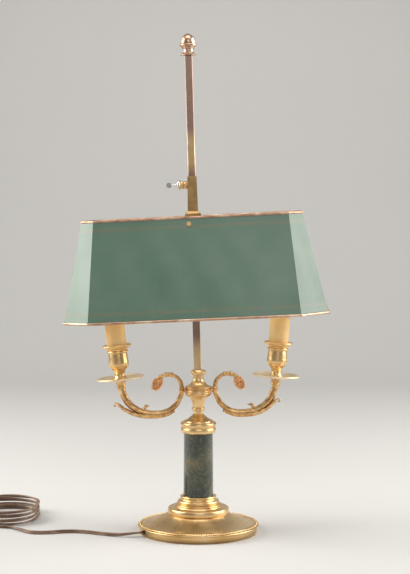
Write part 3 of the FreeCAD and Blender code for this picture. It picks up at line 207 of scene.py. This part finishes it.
def marbleMaterial():
    material, tree, shader = newMaterial("marble")
    clouds = objectNoise(tree, 22, detail=7.0, roughness=0.55, distortion=1.0)
    ground = colourRamp(tree, clouds, [
        (0.30, (0.008, 0.014, 0.008)), (0.47, (0.026, 0.038, 0.022)),
        (0.57, (0.070, 0.072, 0.036)), (0.66, (0.23, 0.14, 0.050)), (0.78, (0.36, 0.30, 0.17))])
    veins = objectNoise(tree, 40, detail=9.0, roughness=0.65, distortion=2.6, stretch=(1, 1, 0.6))
    band = tree.nodes.new("ShaderNodeMath")
    band.operation = "SUBTRACT"
    band.inputs[1].default_value = 0.5
    tree.links.new(veins, band.inputs[0])
    thin = tree.nodes.new("ShaderNodeMath")
    thin.operation = "ABSOLUTE"
    tree.links.new(band.outputs[0], thin.inputs[0])
    vein = valueRange(tree, thin.outputs[0], 0.35, 0.0, 0.0, 0.012)
    tree.links.new(mixColour(tree, vein, ground, (0.40, 0.34, 0.20)), shader.inputs["Base Color"])
    tree.links.new(valueRange(tree, clouds, 0.10, 0.18), shader.inputs["Roughness"])
    shader.inputs["Coat Weight"].default_value = 0.5
    shader.inputs["Coat Roughness"].default_value = 0.06
    return material


# Green painted sheet, uneven and rubbed, with thin brown-gold lines inside both edges; the
# attribute "height" runs from 0 at the bottom edge to 1 at the top
def toleMaterial():
    material, tree, shader = newMaterial("shadePaint")
    clouds = objectNoise(tree, 9, detail=6.0)
    green = colourRamp(tree, clouds, [
        (0.3, (0.066, 0.140, 0.086)), (0.5, (0.082, 0.165, 0.104)), (0.72, (0.108, 0.190, 0.128))])
    rubs = valueRange(tree, objectNoise(tree, 160, detail=8.0, roughness=0.7), 0.0, 0.4, 0.60, 0.78)
    rubbed = mixColour(tree, rubs, green, (0.26, 0.25, 0.17))
    height = tree.nodes.new("ShaderNodeAttribute")
    height.attribute_name = "height"
    off = (0.0, 0.0, 0.0)
    on = (1.0, 1.0, 1.0)
    lines = colourRamp(tree, height.outputs["Fac"], [
        (0.0, off), (0.082, on), (0.090, off), (0.100, on), (0.106, off),
        (0.894, on), (0.900, off), (0.910, on), (0.918, off)], "CONSTANT")
    broken = valueRange(tree, objectNoise(tree, 110, detail=5.0), 0.9, 0.15, 0.40, 0.62)
    drawn = tree.nodes.new("ShaderNodeMath")
    drawn.operation = "MULTIPLY"
    tree.links.new(lines, drawn.inputs[0])
    tree.links.new(broken, drawn.inputs[1])
    lined = mixColour(tree, drawn.outputs[0], rubbed, (0.19, 0.150, 0.075))
    tree.links.new(lined, shader.inputs["Base Color"])
    tree.links.new(valueRange(tree, objectNoise(tree, 30), 0.34, 0.46), shader.inputs["Roughness"])
    shader.inputs["Coat Weight"].default_value = 0.6
    shader.inputs["Coat Roughness"].default_value = 0.28
    addBump(tree, shader, objectNoise(tree, 60, detail=6.0), 0.08, 0.0006)
    return material


marble = marbleMaterial()
shadePaint = toleMaterial()
rodBrass = rodMaterial()
shadeLining = surface(
    "shadeLining", [(0.74, 0.70, 0.58), (0.86, 0.83, 0.72)], 18, (0.45, 0.6), bump=(200, 0.1, 0.0004))

nodeMaterials = {
    "base_felt": felt, "cord_grommet": brownPlastic, "column": marble, "rod": rodBrass,
    "tie_tube": steel, "tie_washer": steel, "tie_nut": steel, "shade_body": shadePaint,
    "strap_screws": wornBrass, "clamp_shoe": rodBrass, "thumb_screw": nickel,
    "shade_bottom_rim": rimCopper, "shade_top_rim": rimCopper, "sleeve": wornBrass,
    "screw_boss": giltPaint, "strap": wornBrass, "finial": rimCopper,
    "wire_connector": whitePlastic, "cord_inner": cordSkin, "switch_body": brownPlastic,
    "switch_rocker": brownPlastic, "plug_body": brownPlastic, "plug_pins": nickel,
}
wordMaterials = {
    "arm_leaf": castGilt, "arm_wire": wireSkin, "arm": castGilt, "pine_cone": coneGilt,
    "drip_pan": paleGilt, "candle_sleeve": candleCard, "nipple": steel,
    "lamp_holder": whitePlastic, "bulb_cap": nickel, "bulb_glass": frostedGlass,
}
for name, piece in nodes.items():
    look = nodeMaterials.get(name)
    if look is None:
        look = wordMaterials.get(name.rsplit("_", 1)[0], giltPaint)
    piece.data.materials.clear()
    piece.data.materials.append(look)


# Cords, first as lines and then as two strands side by side

def splineCurve(name, points):
    curve = bpy.data.curves.new(name, "CURVE")
    curve.dimensions = "3D"
    spline = curve.splines.new("NURBS")
    spline.points.add(len(points) - 1)
    for target, point in zip(spline.points, points):
        target.co = (*(Vector(point) * mm), 1.0)
    spline.order_u = 3
    spline.use_endpoint_u = True
    spline.resolution_u = 10
    return bpy.data.objects.new(name, curve)


# The smooth line that the control points give, as a list of points
def linePoints(points):
    line = splineCurve("line", points)
    bpy.context.collection.objects.link(line)
    bpy.context.view_layer.update()
    mesh = bpy.data.meshes.new_from_object(line.evaluated_get(bpy.context.evaluated_depsgraph_get()))
    found = [vertex.co.copy() for vertex in mesh.vertices]
    bpy.data.objects.remove(line)
    bpy.data.meshes.remove(mesh)
    return [p for i, p in enumerate(found) if i == 0 or (p - found[i - 1]).length > 1e-7]


# A direction and two side directions at each point, carried along without twist
def lineFrames(points):
    frames = []
    side = None
    for index, point in enumerate(points):
        ahead = points[min(index + 1, len(points) - 1)]
        back = points[max(index - 1, 0)]
        heading = (ahead - back).normalized()
        if side is None:
            side = heading.cross(Vector((0, 0, 1))).normalized()
        side = (side - heading * side.dot(heading)).normalized()
        frames.append((point, heading, side, heading.cross(side).normalized()))
    return frames


def link(obj, material, body):
    bpy.context.collection.objects.link(obj)
    obj.data.materials.append(material)
    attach(obj, body)
    return obj


def meshObject(name, bm, smooth=True):
    bmesh.ops.recalc_face_normals(bm, faces=bm.faces)
    mesh = bpy.data.meshes.new(name)
    bm.to_mesh(mesh)
    bm.free()
    for face in mesh.polygons:
        face.use_smooth = smooth
    return bpy.data.objects.new(name, mesh)


# Skin a list of rings of points, all with the same count
def addTube(bm, rings):
    rows = [[bm.verts.new(p) for p in ring] for ring in rings]
    count = len(rows[0])
    for first, second in zip(rows, rows[1:]):
        for i in range(count):
            j = (i + 1) % count
            bm.faces.new((first[i], first[j], second[j], second[i]))
    bm.faces.new(rows[0][::-1])
    bm.faces.new(rows[-1])


def roundRing(centre, across, up, radius, count=10, squash=1.0):
    ring = []
    for i in range(count):
        angle = 2 * math.pi * i / count
        ring.append(centre + across * (radius * math.cos(angle)) + up * (radius * squash * math.sin(angle)))
    return ring


# Two round strands that lie side by side and turn slowly about each other
def twinFlex(name, points, twistPerMetre, strand=1.32 * mm, offset=1.22 * mm):
    line = linePoints(points)
    frames = lineFrames(line)
    bm = bmesh.new()
    run = 0.0
    rows = {-1: [], 1: []}
    for index, (point, heading, side, up) in enumerate(frames):
        if index:
            run += (point - frames[index - 1][0]).length
        turn = 2 * math.pi * twistPerMetre * run + 0.5 * math.sin(run * 31.0)
        across = side * math.cos(turn) + up * math.sin(turn)
        normal = heading.cross(across)
        for which in (-1, 1):
            centre = point + across * (which * offset)
            rows[which].append(roundRing(centre, across, normal, strand))
    for which in (-1, 1):
        addTube(bm, rows[which])
    obj = meshObject(name, bm)
    return link(obj, cordSkin, "base"), line, run


def exitPoint(reach):
    angle = math.radians(203.0)
    return Vector((math.cos(angle) * reach, math.sin(angle) * reach, 5.7))


hank = {"centre": (-272.0, 89.0), "radius": 48.0, "run": 28.0, "step": 2.8, "layer": 5.5, "layers": 4}
floorHeight = 2.5
tailPoints = [
    exitPoint(79.4), exitPoint(92.4), (-104, -35, 3.2), (-124, -27.5, floorHeight),
    (-149, -13.5, floorHeight), (-176, -9, floorHeight), (-204, -19.5, floorHeight),
    (-227, -16, floorHeight), (-243, 6, floorHeight), (-259, 18.5, floorHeight),
    (-281, 20.5, floorHeight), (-304, 28, floorHeight), (-320, 49, floorHeight),
]


# Oval loops that spiral in and out, one layer on another, each a little off the last
def hankPoints():
    centreX, centreY = hank["centre"]
    lowY = centreY - hank["run"] / 2
    highY = centreY + hank["run"] / 2
    runs = 2 * hank["layers"] + 1

    def sideways(index):
        cycle = index % 4
        return hank["radius"] - hank["step"] * (cycle if cycle < 3 else 4 - cycle)

    points = []
    height = floorHeight
    swell = 1.035
    for index in range(runs):
        back = index % 2 == 0
        x = centreX + (-1 if back else 1) * sideways(index)
        startY, endY = (lowY, highY) if back else (highY, lowY)
        climb = hank["layer"] if back and 0 < index < runs - 1 else 0.0
        for share in (0.0, 0.5, 1.0):
            lift = climb * share
            points.append((x, startY + (endY - startY) * share, height + lift))
        height += climb
        if index < runs - 1:
            nextX = centreX + (1 if back else -1) * sideways(index + 1)
            middle = (x + nextX) / 2
            radius = abs(nextX - x) / 2
            for step in range(1, 6):
                angle = math.radians(30 * step)
                across = -math.cos(angle) if back else math.cos(angle)
                rise = math.sin(angle) * (1 if back else -1)
                points.append((middle + across * radius * swell, endY + rise * radius * swell, height))
    return points


hankTop = floorHeight + hank["layer"] * (hank["layers"] - 1)
leadPoints = [
    (-320, 114, hankTop), (-322, 128, hankTop - 5.0), (-328, 146, 6.0), (-342, 158, floorHeight),
    (-359, 153, floorHeight + 0.5), (-368, 133, 7.5), (-368, 118, 7.5),
]
endPoints = [
    (-368, 60, 7.5), (-368, 49, 7.5), (-369, 32, floorHeight + 1.0), (-373, 14, floorHeight),
    (-369, -4, floorHeight + 0.5), (-352, -14, 7.0), (-338, -14, 7.0),
]

mainCord, mainLine, mainLength = twinFlex(
    "mainCord", tailPoints + hankPoints() + leadPoints, 3.0)
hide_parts("cord_tail", "cord_hank", "cord_lead")
endCord, endLine, endLength = twinFlex("endCord", endPoints, 3.0)
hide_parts("cord_end")
print("cords", round(mainLength, 3), round(endLength, 3))


# Spin an outline of radius and height, in millimetres, about the upright axis; gives its vertices
def spinOutline(bm, outline, steps):
    before = set(bm.verts)
    corners = [bm.verts.new((radius, 0, height)) for radius, height in outline]
    edges = [bm.edges.new(pair) for pair in zip(corners, corners[1:])]
    bmesh.ops.spin(bm, geom=corners + edges, cent=(0, 0, 0), axis=(0, 0, 1), dvec=(0, 0, 0),
                   angle=2 * math.pi, steps=steps, use_merge=True)
    spun = [vertex for vertex in bm.verts if vertex not in before]
    bmesh.ops.remove_doubles(bm, verts=spun, dist=0.0001)  # closes poles and rings
    return [vertex for vertex in bm.verts if vertex not in before]


# Base plate, a hollow spun disc with a row of beads round its edge

base = {
    "radius": 81.5, "wall": 78.5, "inside": 75.9, "rimHeight": 12.2, "seat": 42.5, "seatHeight": 25.0,
    "bore": 5.2, "beads": 150, "beadRadius": 1.32, "beadCircle": 78.05, "beadHeight": 11.6, "sheet": 2.6,
}


def basePiece():
    bm = bmesh.new()
    edge, wall, inside = base["radius"], base["wall"], base["inside"]
    rim, top, seat = base["rimHeight"], base["seatHeight"], base["seat"]
    inner = edge - 5.0
    slope = [(inner, rim - 0.9), (inner, rim)]
    for step in range(1, 9):
        t = step / 8
        slope.append((inner + (seat - inner) * t, rim + (top - 0.6 - rim) * t ** 1.55))
    under = [(radius, height - base["sheet"] - 0.4) for radius, height in slope[2:]]
    outline = (
        [(base["bore"], top), (seat - 0.5, top)] + slope[::-1]
        + [(edge - 1.9, rim - 1.0), (edge - 1.9, rim - 0.9), (edge - 0.9, rim - 0.9),
           (edge - 0.3, rim - 1.3), (edge, rim - 1.9), (edge - 0.3, rim - 2.5),
           (edge - 0.9, rim - 2.9), (wall + 0.6, rim - 3.1), (wall, rim - 4.3), (wall, 0.0),
           (inside + 1.5, 0.0), (inside + 1.5, 2.0), (inside, 2.0), (inside, 7.8)]
        + [place for place in under if place[0] < inside - 1]
        + [(seat - 3, top - 3.0), (base["bore"], top - 3.0), (base["bore"], top)])
    spun = spinOutline(bm, outline, 180)
    # Faces of the trough just inside the beads get the near-black brass, painted shade under the beads
    for face in bm.faces:
        centre = face.calc_center_median()
        shadedTrough = inner < centre.xy.length < edge - 1.9 and rim - 1.02 < centre.z < rim - 0.88
        face.material_index = 1 if shadedTrough else 0
    bmesh.ops.scale(bm, vec=(mm, mm, mm), verts=spun)
    for index in range(base["beads"]):
        angle = 2 * math.pi * index / base["beads"]
        place = Vector((base["beadCircle"] * math.cos(angle), base["beadCircle"] * math.sin(angle),
                        base["beadHeight"])) * mm
        bmesh.ops.create_icosphere(bm, subdivisions=2, radius=base["beadRadius"] * mm,
                                   matrix=Matrix.Translation(place))
    piece = link(meshObject("basePlate", bm), giltPaint, "base")
    piece.data.materials.append(paintedShadeBrass)
    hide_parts("base_plate")


basePiece()
print("base done")


# Branches, each with its leaf and its pine cone, drawn for the right side about the hub's centre

arms = {
    "hubHeight": 191.7, "roll": 1.0, "root": 22.2, "reach": 81.8, "drop": 31.0,
    "stack": (104.0, 15.0), "splay": 5.0, "collar": 10.5,
    "scrollReach": 29.0, "scrollRise": 21.4, "rootThickness": 3.4, "bellyThickness": 4.4,
    "topThickness": 5.0, "scrollThickness": 3.2, "ball": 4.5, "spigot": 3.0, "spigotStart": 11.5,
    "scrollRings": ((0.60, 1.2, 0.030), (0.68, 0.8, 0.022), (0.78, 1.3, 0.034), (0.96, 0.9, 0.03)),
    "collarOutline": (
        (0, -10.4), (4.8, -10.4), (5.6, -10.4), (6.3, -9.6), (6.5, -8.8), (6.0, -7.6), (5.4, -6.4),
        (5.9, -5.6), (6.8, -4.6), (6.9, -3.4), (6.6, -2.2), (7.4, -1.5), (7.4, -0.05), (4.8, -0.05),
        (0, -0.05)),
}
bud = {
    "start": 0.585, "sink": 3.0, "steps": 16, "around": 12, "bend": 3.6, "rise": 5.2, "fullBend": 1.9,
    "stretch": 1.8, "drift": 2.6, "rootWidth": 2.5, "tipWidth": 1.0, "wide": 1.15, "deep": 0.8,
}
leaf = {
    "first": 0.24, "last": 0.845, "thickness": 1.3, "lobes": 9, "ribs": 5, "lift": {-1: 7.4, 1: 2.4},
    "curlSteps": 30, "curlRadius": 2.6, "curlShrink": 1.1, "curlHalf": 3.6, "curlThick": 0.65,
    "curlSection": ((-1, -0.7), (-0.6, -1), (0.6, -1), (1, -0.7), (1, 0.7), (0.6, 1), (-0.6, 1), (-1, 0.7)),
}
cone = {"rows": 7, "around": 8, "radius": 6.1, "length": 17.0, "scale": 1.7}


# Right or left side, from arm to lamp space, in metres
def placedOnSide(point, side):
    roll = Matrix.Rotation(-math.radians(arms["roll"]), 3, "Y")
    turned = roll @ Vector((point.x * side, point.y, point.z))
    return (turned + Vector((0, 0, arms["hubHeight"]))) * mm


# A smooth line through some points, as a list of points at even distances
def smoothThrough(points, startPull, endPull, steps):
    points = [Vector(p) for p in points]
    pulls = [startPull]
    for before, after in zip(points, points[2:]):
        pulls.append((after - before) / 2)
    pulls.append(endPull)
    found = []
    spans = len(points) - 1
    fine = 40 * spans
    for index in range(fine + 1):
        place = index / fine * spans
        span = min(int(place), spans - 1)
        t = place - span
        a, b = points[span], points[span + 1]
        found.append(a * (2 * t**3 - 3 * t**2 + 1) + pulls[span] * (t**3 - 2 * t**2 + t)
                     + b * (-2 * t**3 + 3 * t**2) + pulls[span + 1] * (t**3 - t**2))
    runs = [0.0]
    for before, after in zip(found, found[1:]):
        runs.append(runs[-1] + (after - before).length)
    even = []
    spot = 0
    for index in range(steps + 1):
        wanted = runs[-1] * index / steps
        while spot < fine - 1 and runs[spot + 1] < wanted:
            spot += 1
        part = (wanted - runs[spot]) / (runs[spot + 1] - runs[spot])
        even.append(found[spot].lerp(found[spot + 1], min(1.0, part)))
    return even


def stackAxis():
    splay = math.radians(arms["splay"])
    return Vector((math.sin(splay), 0, math.cos(splay)))


def branchLine(steps):
    shares = [(0, 0), (0.03, -0.30), (0.105, -0.64), (0.25, -0.91), (0.44, -1.0),
              (0.65, -0.92), (0.82, -0.67), (0.93, -0.30)]
    points = [Vector((arms["root"] + x * arms["reach"], 0, z * arms["drop"])) for x, z in shares]
    end = Vector((arms["stack"][0], 0, arms["stack"][1])) - stackAxis() * (arms["collar"] - 2)
    return smoothThrough(points + [end], Vector((1, 0, -9)), stackAxis() * 14, steps)


def scrollLine(steps):
    shares = [(0, 0.05), (0.07, 0.55), (0.33, 0.91), (0.68, 1.0), (1.0, 0.76)]
    reach, rise = arms["scrollReach"], arms["scrollRise"]
    points = [Vector((arms["root"] + x * reach, 0, z * rise)) for x, z in shares]
    return smoothThrough(points, Vector((0, 0, 9)), Vector((4, 0, -9)), steps)


depthWise = Vector((0, 1, 0))


# Direction along a flat line and the side that points away from the hub or down
def along(line, index):
    ahead = line[min(index + 1, len(line) - 1)]
    back = line[max(index - 1, 0)]
    direction = (ahead - back).normalized()
    return direction, Vector((direction.z, 0, -direction.x))


# A round bar along a line, its radius a function of share and angle
def barAlong(bm, line, side, radius, count=18):
    rings = []
    for index, place in enumerate(line):
        direction, outward = along(line, index)
        share = index / (len(line) - 1)
        ring = []
        for step in range(count):
            angle = 2 * math.pi * step / count
            reach = radius(share, angle)
            point = place + (outward * math.cos(angle) + depthWise * math.sin(angle)) * reach
            ring.append(placedOnSide(point, side))
        rings.append(ring)
    addTube(bm, rings)


# A turned form about the branch's end; its outline is radius and height, from axis to axis
def turnedOnStack(bm, outline, side):
    tilt = Matrix.Rotation(math.radians(arms["splay"]), 3, "Y")
    foot = Vector((arms["stack"][0], 0, arms["stack"][1]))
    spun = spinOutline(bm, outline, 32)
    for vertex in spun:
        vertex.co = placedOnSide(foot + tilt @ vertex.co, side)


def branchRadius(share, angle):
    low, belly, top = arms["rootThickness"], arms["bellyThickness"], arms["topThickness"]
    plain = low + (belly - low) * 2 * share if share < 0.5 else belly + (top - belly) * (2 * share - 1)
    flute = 0.20 * math.cos(5 * angle) * min(1.0, share * 4)
    knots = 0.35 * max(0.0, math.cos(2 * math.pi * 9 * share)) ** 4
    return plain - 0.25 + flute + knots * max(0.0, -math.cos(angle))


def ballRadius(share, angle):
    return 0.4 + arms["ball"] * math.sqrt(max(0.0, 1 - (2 * share - 1) ** 2))


def scrollRadius(share, angle):
    rings = 0.0
    for place, height, width in arms["scrollRings"]:
        rings += height * math.exp(-((share - place) / width) ** 2)
    leafy = 0.28 * math.cos(6 * angle) * math.sin(math.pi * min(1.0, share / 0.55))
    return arms["scrollThickness"] * (0.92 - 0.16 * math.sin(math.pi * share)) + rings + leafy


# The bud inside the branch: a stout horn whose tip curls back towards the hub
def addBud(bm, line, side):
    start = int(bud["start"] * (len(line) - 1))
    direction, outward = along(line, start)
    root = line[start] - outward * bud["sink"]
    rings = []
    for index in range(bud["steps"] + 1):
        share = index / bud["steps"]
        bend = bud["bend"] * share
        rise = bud["rise"] * math.sin(min(bend, bud["fullBend"])) + bud["stretch"] * share
        drift = bud["drift"] * (1 - math.cos(bend)) * share
        place = root - outward * rise - direction * drift
        heading = (-outward * math.cos(bend * 0.8) - direction * math.sin(bend * 0.8)).normalized()
        knob = 0.6 * math.exp(-((share - 0.9) / 0.14) ** 2)
        width = bud["rootWidth"] * (1 - share) ** 0.8 + bud["tipWidth"] + knob
        other = heading.cross(depthWise).normalized()
        ring = []
        for step in range(bud["around"]):
            angle = 2 * math.pi * step / bud["around"]
            ring.append(placedOnSide(
                place + depthWise * (width * bud["wide"] * math.cos(angle))
                + other * (width * bud["deep"] * math.sin(angle)), side))
        rings.append(ring)
    addTube(bm, rings)


def armPiece(side, word):
    bm = bmesh.new()
    line = branchLine(120)
    barAlong(bm, line, side, branchRadius)
    barAlong(bm, scrollLine(90), side, scrollRadius)
    root = arms["root"]
    start = arms["spigotStart"]
    spigot = [Vector((start + (root - start) * k / 6, 0, 0)) for k in range(7)]
    barAlong(bm, spigot, side, lambda share, angle: arms["spigot"])
    ball = [Vector((root - 4.2 + 8.4 * k / 14, 0, 0)) for k in range(15)]
    barAlong(bm, ball, side, ballRadius)
    addBud(bm, line, side)
    turnedOnStack(bm, arms["collarOutline"], side)
    piece = link(meshObject("arm" + word.capitalize(), bm), castGilt, "base")
    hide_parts("arm_" + word)


# The acanthus leaf: a ribbed gutter with a notched edge, its tip rolled over
def leafPiece(side, word):
    bm = bmesh.new()
    steps = 150
    line = branchLine(400)
    first, last = leaf["first"], leaf["last"]
    lift = leaf["lift"][side]
    across = 13
    rings = []
    for index in range(steps + 1):
        share = index / steps
        spot = int((first + share * (last - first)) * (len(line) - 1))
        direction, outward = along(line, spot)
        peel = lift * max(0.0, (share - 0.35) / 0.65) ** 1.6
        notch = 0.80 + 0.20 * abs(math.sin(math.pi * leaf["lobes"] * share)) ** 0.6
        opening = math.radians((34 + 56 * math.sin(math.pi * min(1.0, 0.12 + 0.8 * share))) * notch)
        inner = branchRadius(first + share * (last - first), 0) + 0.55
        outerRow, innerRow = [], []
        for step in range(across):
            angle = opening * (2 * step / (across - 1) - 1)
            rib = 0.42 * math.cos(leaf["ribs"] * math.pi * angle / opening)
            bead = 0.40 * math.sin(2 * math.pi * (2 * leaf["lobes"] * share + 0.9 * abs(angle)))
            centre = line[spot] + outward * peel
            for row, reach in ((outerRow, inner + leaf["thickness"] + rib + bead), (innerRow, inner)):
                point = centre + (outward * math.cos(angle) + depthWise * math.sin(angle)) * reach
                row.append(placedOnSide(point, side))
        rings.append(outerRow + innerRow[::-1])
    addTube(bm, rings)
    spot = int(last * (len(line) - 1))
    direction, outward = along(line, spot)
    inner = branchRadius(last, 0) + 0.55
    start = line[spot] + outward * (inner + lift + leaf["thickness"] / 2)
    curl = []
    centre = start + outward * leaf["curlRadius"]
    for index in range(leaf["curlSteps"] + 1):
        share = index / leaf["curlSteps"]
        turn = math.radians(-20 + 300 * share)
        reach = leaf["curlRadius"] - leaf["curlShrink"] * share
        place = centre - outward * (reach * math.cos(turn)) + direction * (reach * math.sin(turn))
        normal = (place - centre).normalized()
        half = leaf["curlHalf"] - share
        curl.append([placedOnSide(place + normal * (leaf["curlThick"] * b) + depthWise * (half * a), side)
                     for a, b in leaf["curlSection"]])
    addTube(bm, curl)
    piece = link(meshObject("leaf" + word.capitalize(), bm), castGilt, "base")
    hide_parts("arm_leaf_" + word)


def conePiece(side, word):
    bm = bmesh.new()
    line = scrollLine(60)
    direction, _ = along(line, len(line) - 1)
    foot = line[-1]
    other = direction.cross(depthWise).normalized()

    def swell(share):
        return cone["radius"] * math.sin(math.pi * (0.20 + 0.72 * share)) ** 0.7

    core = []
    for index in range(13):
        share = index / 12
        reach = max(0.6, swell(share) - 1.9) if index < 12 else 0.6
        place = foot + direction * (cone["length"] * share)
        ring = []
        for step in range(14):
            angle = 2 * math.pi * step / 14
            ring.append(placedOnSide(
                place + (depthWise * math.cos(angle) + other * math.sin(angle)) * reach, side))
        core.append(ring)
    addTube(bm, core)
    for row in range(cone["rows"]):
        share = (row + 0.5) / cone["rows"]
        around = cone["around"] if row < cone["rows"] - 1 else 5
        for index in range(around):
            angle = 2 * math.pi * (index + 0.5 * (row % 2)) / around
            outward = depthWise * math.cos(angle) + other * math.sin(angle)
            place = foot + direction * (cone["length"] * share + 0.6) + outward * (swell(share) - 0.5)
            made = bmesh.ops.create_icosphere(bm, subdivisions=2, radius=cone["scale"])
            aside = direction.cross(outward).normalized()
            for vertex in made["verts"]:
                x, y, z = vertex.co
                point = place + outward * (x * 1.1) + aside * (y * 0.85) + direction * (z * 0.72)
                vertex.co = placedOnSide(point, side)
    piece = link(meshObject("cone" + word.capitalize(), bm), coneGilt, "base")
    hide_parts("pine_cone_" + word)


for side, word in ((-1, "left"), (1, "right")):
    armPiece(side, word)
    leafPiece(side, word)
    conePiece(side, word)
print("branches done")


# Shade: eight slanting panels of thin sheet, dented a little, painted outside and lined inside

shade = {
    "bottom": (346.0, 168.0, 35.5), "top": (289.0, 112.0, 17.5), "cutRatio": 0.9, "height": 132.5,
    "wall": 0.8, "yaw": -3.0, "tilt": 1.1, "strapLevel": 129.8, "foot": 291.7, "lean": 1.65,
    "leanHeight": 183.0, "dent": 0.35, "long": 40, "up": 18,
}


# From the shade's own upright space to the lamp's, in metres
def hung(point):
    pivot = Vector((0, 0, shade["strapLevel"]))
    yaw = Matrix.Rotation(math.radians(shade["yaw"]), 3, "Z")
    tilt = Matrix.Rotation(-math.radians(shade["tilt"]), 3, "Y")
    lean = Matrix.Rotation(-math.radians(shade["lean"]), 3, "Y")
    foot = Vector((0, 0, shade["foot"]))
    hubBase = Vector((0, 0, shade["leanHeight"]))
    placed = tilt @ (yaw @ (point - pivot)) + pivot + foot
    return (lean @ (placed - hubBase) + hubBase) * mm


def shadeCorners(share, inset):
    values = [b + share * (t - b) for b, t in zip(shade["bottom"], shade["top"])]
    halfLength, halfDepth, cutX = values[0] / 2, values[1] / 2, values[2]
    cutY = shade["cutRatio"] * cutX
    slant = math.hypot(cutX, cutY)
    trimX = inset * (cutX + cutY - slant) / cutY
    trimY = inset * (cutX + cutY - slant) / cutX
    halfLength, halfDepth, cutX, cutY = halfLength - inset, halfDepth - inset, cutX - trimX, cutY - trimY
    corners = []
    for sideX, sideY, longFirst in ((1, -1, True), (1, 1, False), (-1, 1, True), (-1, -1, False)):
        longCorner = Vector((sideX * (halfLength - cutX), sideY * halfDepth, share * shade["height"]))
        endCorner = Vector((sideX * halfLength, sideY * (halfDepth - cutY), share * shade["height"]))
        corners += [longCorner, endCorner] if longFirst else [endCorner, longCorner]
    return corners


def shadePiece():
    bm = bmesh.new()
    heights = bm.verts.layers.float.new("height")
    corners = shadeCorners(0.0, 0.0)
    layers = []
    for inset in (0.0, shade["wall"]):
        rows = []
        for level in range(shade["up"] + 1):
            share = level / shade["up"]
            ring = shadeCorners(share, inset)
            row = []
            for index in range(8):
                start, end = ring[index], ring[(index + 1) % 8]
                out = Vector(((end - start).y, -(end - start).x, 0)).normalized()
                width = (corners[index] - corners[(index + 1) % 8]).length
                count = max(4, int(shade["long"] * width / 275))
                for step in range(count):
                    t = step / count
                    point = start.lerp(end, t)
                    wave = (math.sin(point.x * 0.045 + 2.1 * index) * math.sin(point.z * 0.06 + index)
                            + 0.5 * math.sin(point.x * 0.11 + point.y * 0.09 + point.z * 0.04))
                    free = math.sin(math.pi * t) * math.sin(math.pi * share)
                    point = point - out * (shade["dent"] * wave * free)
                    vertex = bm.verts.new(hung(point))
                    vertex[heights] = share
                    row.append(vertex)
            rows.append(row)
        layers.append(rows)
    outer, inner = layers
    count = len(outer[0])
    for rows, material, flip in ((outer, 0, False), (inner, 1, True)):
        for first, second in zip(rows, rows[1:]):
            for i in range(count):
                j = (i + 1) % count
                corner = (first[i], first[j], second[j], second[i])
                face = bm.faces.new(corner[::-1] if flip else corner)
                face.material_index = material
    for first, second in ((inner[0], outer[0]), (outer[-1], inner[-1])):
        for i in range(count):
            j = (i + 1) % count
            bm.faces.new((first[i], first[j], second[j], second[i]))
    obj = meshObject("shadeBody", bm, smooth=False)
    link(obj, shadePaint, "shade")
    obj.data.materials.append(shadeLining)
    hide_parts("shade_body")


shadePiece()
print("shade done")


# Studio

def plainMaterial(name, colour, roughness):
    material, tree, shader = newMaterial(name)
    tone = colourRamp(tree, objectNoise(tree, 1.5), [
        (0.3, tuple(c * 0.98 for c in colour)), (0.7, colour)])
    tree.links.new(tone, shader.inputs["Base Color"])
    shader.inputs["Roughness"].default_value = roughness
    return material


def studio():
    bm = bmesh.new()
    profile = [(-4.0, 0.0), (1.6, 0.0)]
    for step in range(1, 13):
        angle = math.radians(90 * step / 12)
        profile.append((1.6 + 0.9 * math.sin(angle), 0.9 * (1 - math.cos(angle))))
    profile.append((2.5, 4.0))
    rows = []
    for y, z in profile:
        rows.append([bm.verts.new((x, y, z)) for x in (-5.0, 5.0)])
    for first, second in zip(rows, rows[1:]):
        bm.faces.new((first[0], first[1], second[1], second[0]))
    mesh = bpy.data.meshes.new("floor")
    bm.to_mesh(mesh)
    bm.free()
    for face in mesh.polygons:
        face.use_smooth = True
    floor = bpy.data.objects.new("floor", mesh)
    floor.data.materials.append(plainMaterial("paleFloor", (0.62, 0.61, 0.59), 0.7))
    bpy.context.collection.objects.link(floor)


def areaLight(name, place, target, size, power, colour=(1, 1, 1)):
    light = bpy.data.lights.new(name, "AREA")
    light.shape = "RECTANGLE"
    light.size, light.size_y = size
    light.energy = power
    light.color = colour
    obj = bpy.data.objects.new(name, light)
    obj.location = place
    obj.rotation_euler = (Vector(target) - Vector(place)).to_track_quat("-Z", "Y").to_euler()
    bpy.context.collection.objects.link(obj)


studio()
middle = (0.0, 0.0, 0.3)
areaLight("keyLeft", (-1.7, 0.10, 1.15), middle, (1.5, 1.6), 44, (1.0, 0.98, 0.95))
areaLight("keyRight", (1.8, 0.10, 1.05), middle, (1.5, 1.6), 44, (1.0, 0.98, 0.95))
areaLight("overhead", (0.0, -0.3, 2.2), middle, (1.6, 1.0), 16)
areaLight("front", (0.3, -2.8, 1.5), middle, (1.6, 1.0), 12)

world = bpy.data.worlds.new("world")
bpy.context.scene.world = world
world.use_nodes = True
world.node_tree.nodes["Background"].inputs["Color"].default_value = (0.86, 0.85, 0.84, 1)
world.node_tree.nodes["Background"].inputs["Strength"].default_value = 0.24
print("studio done")
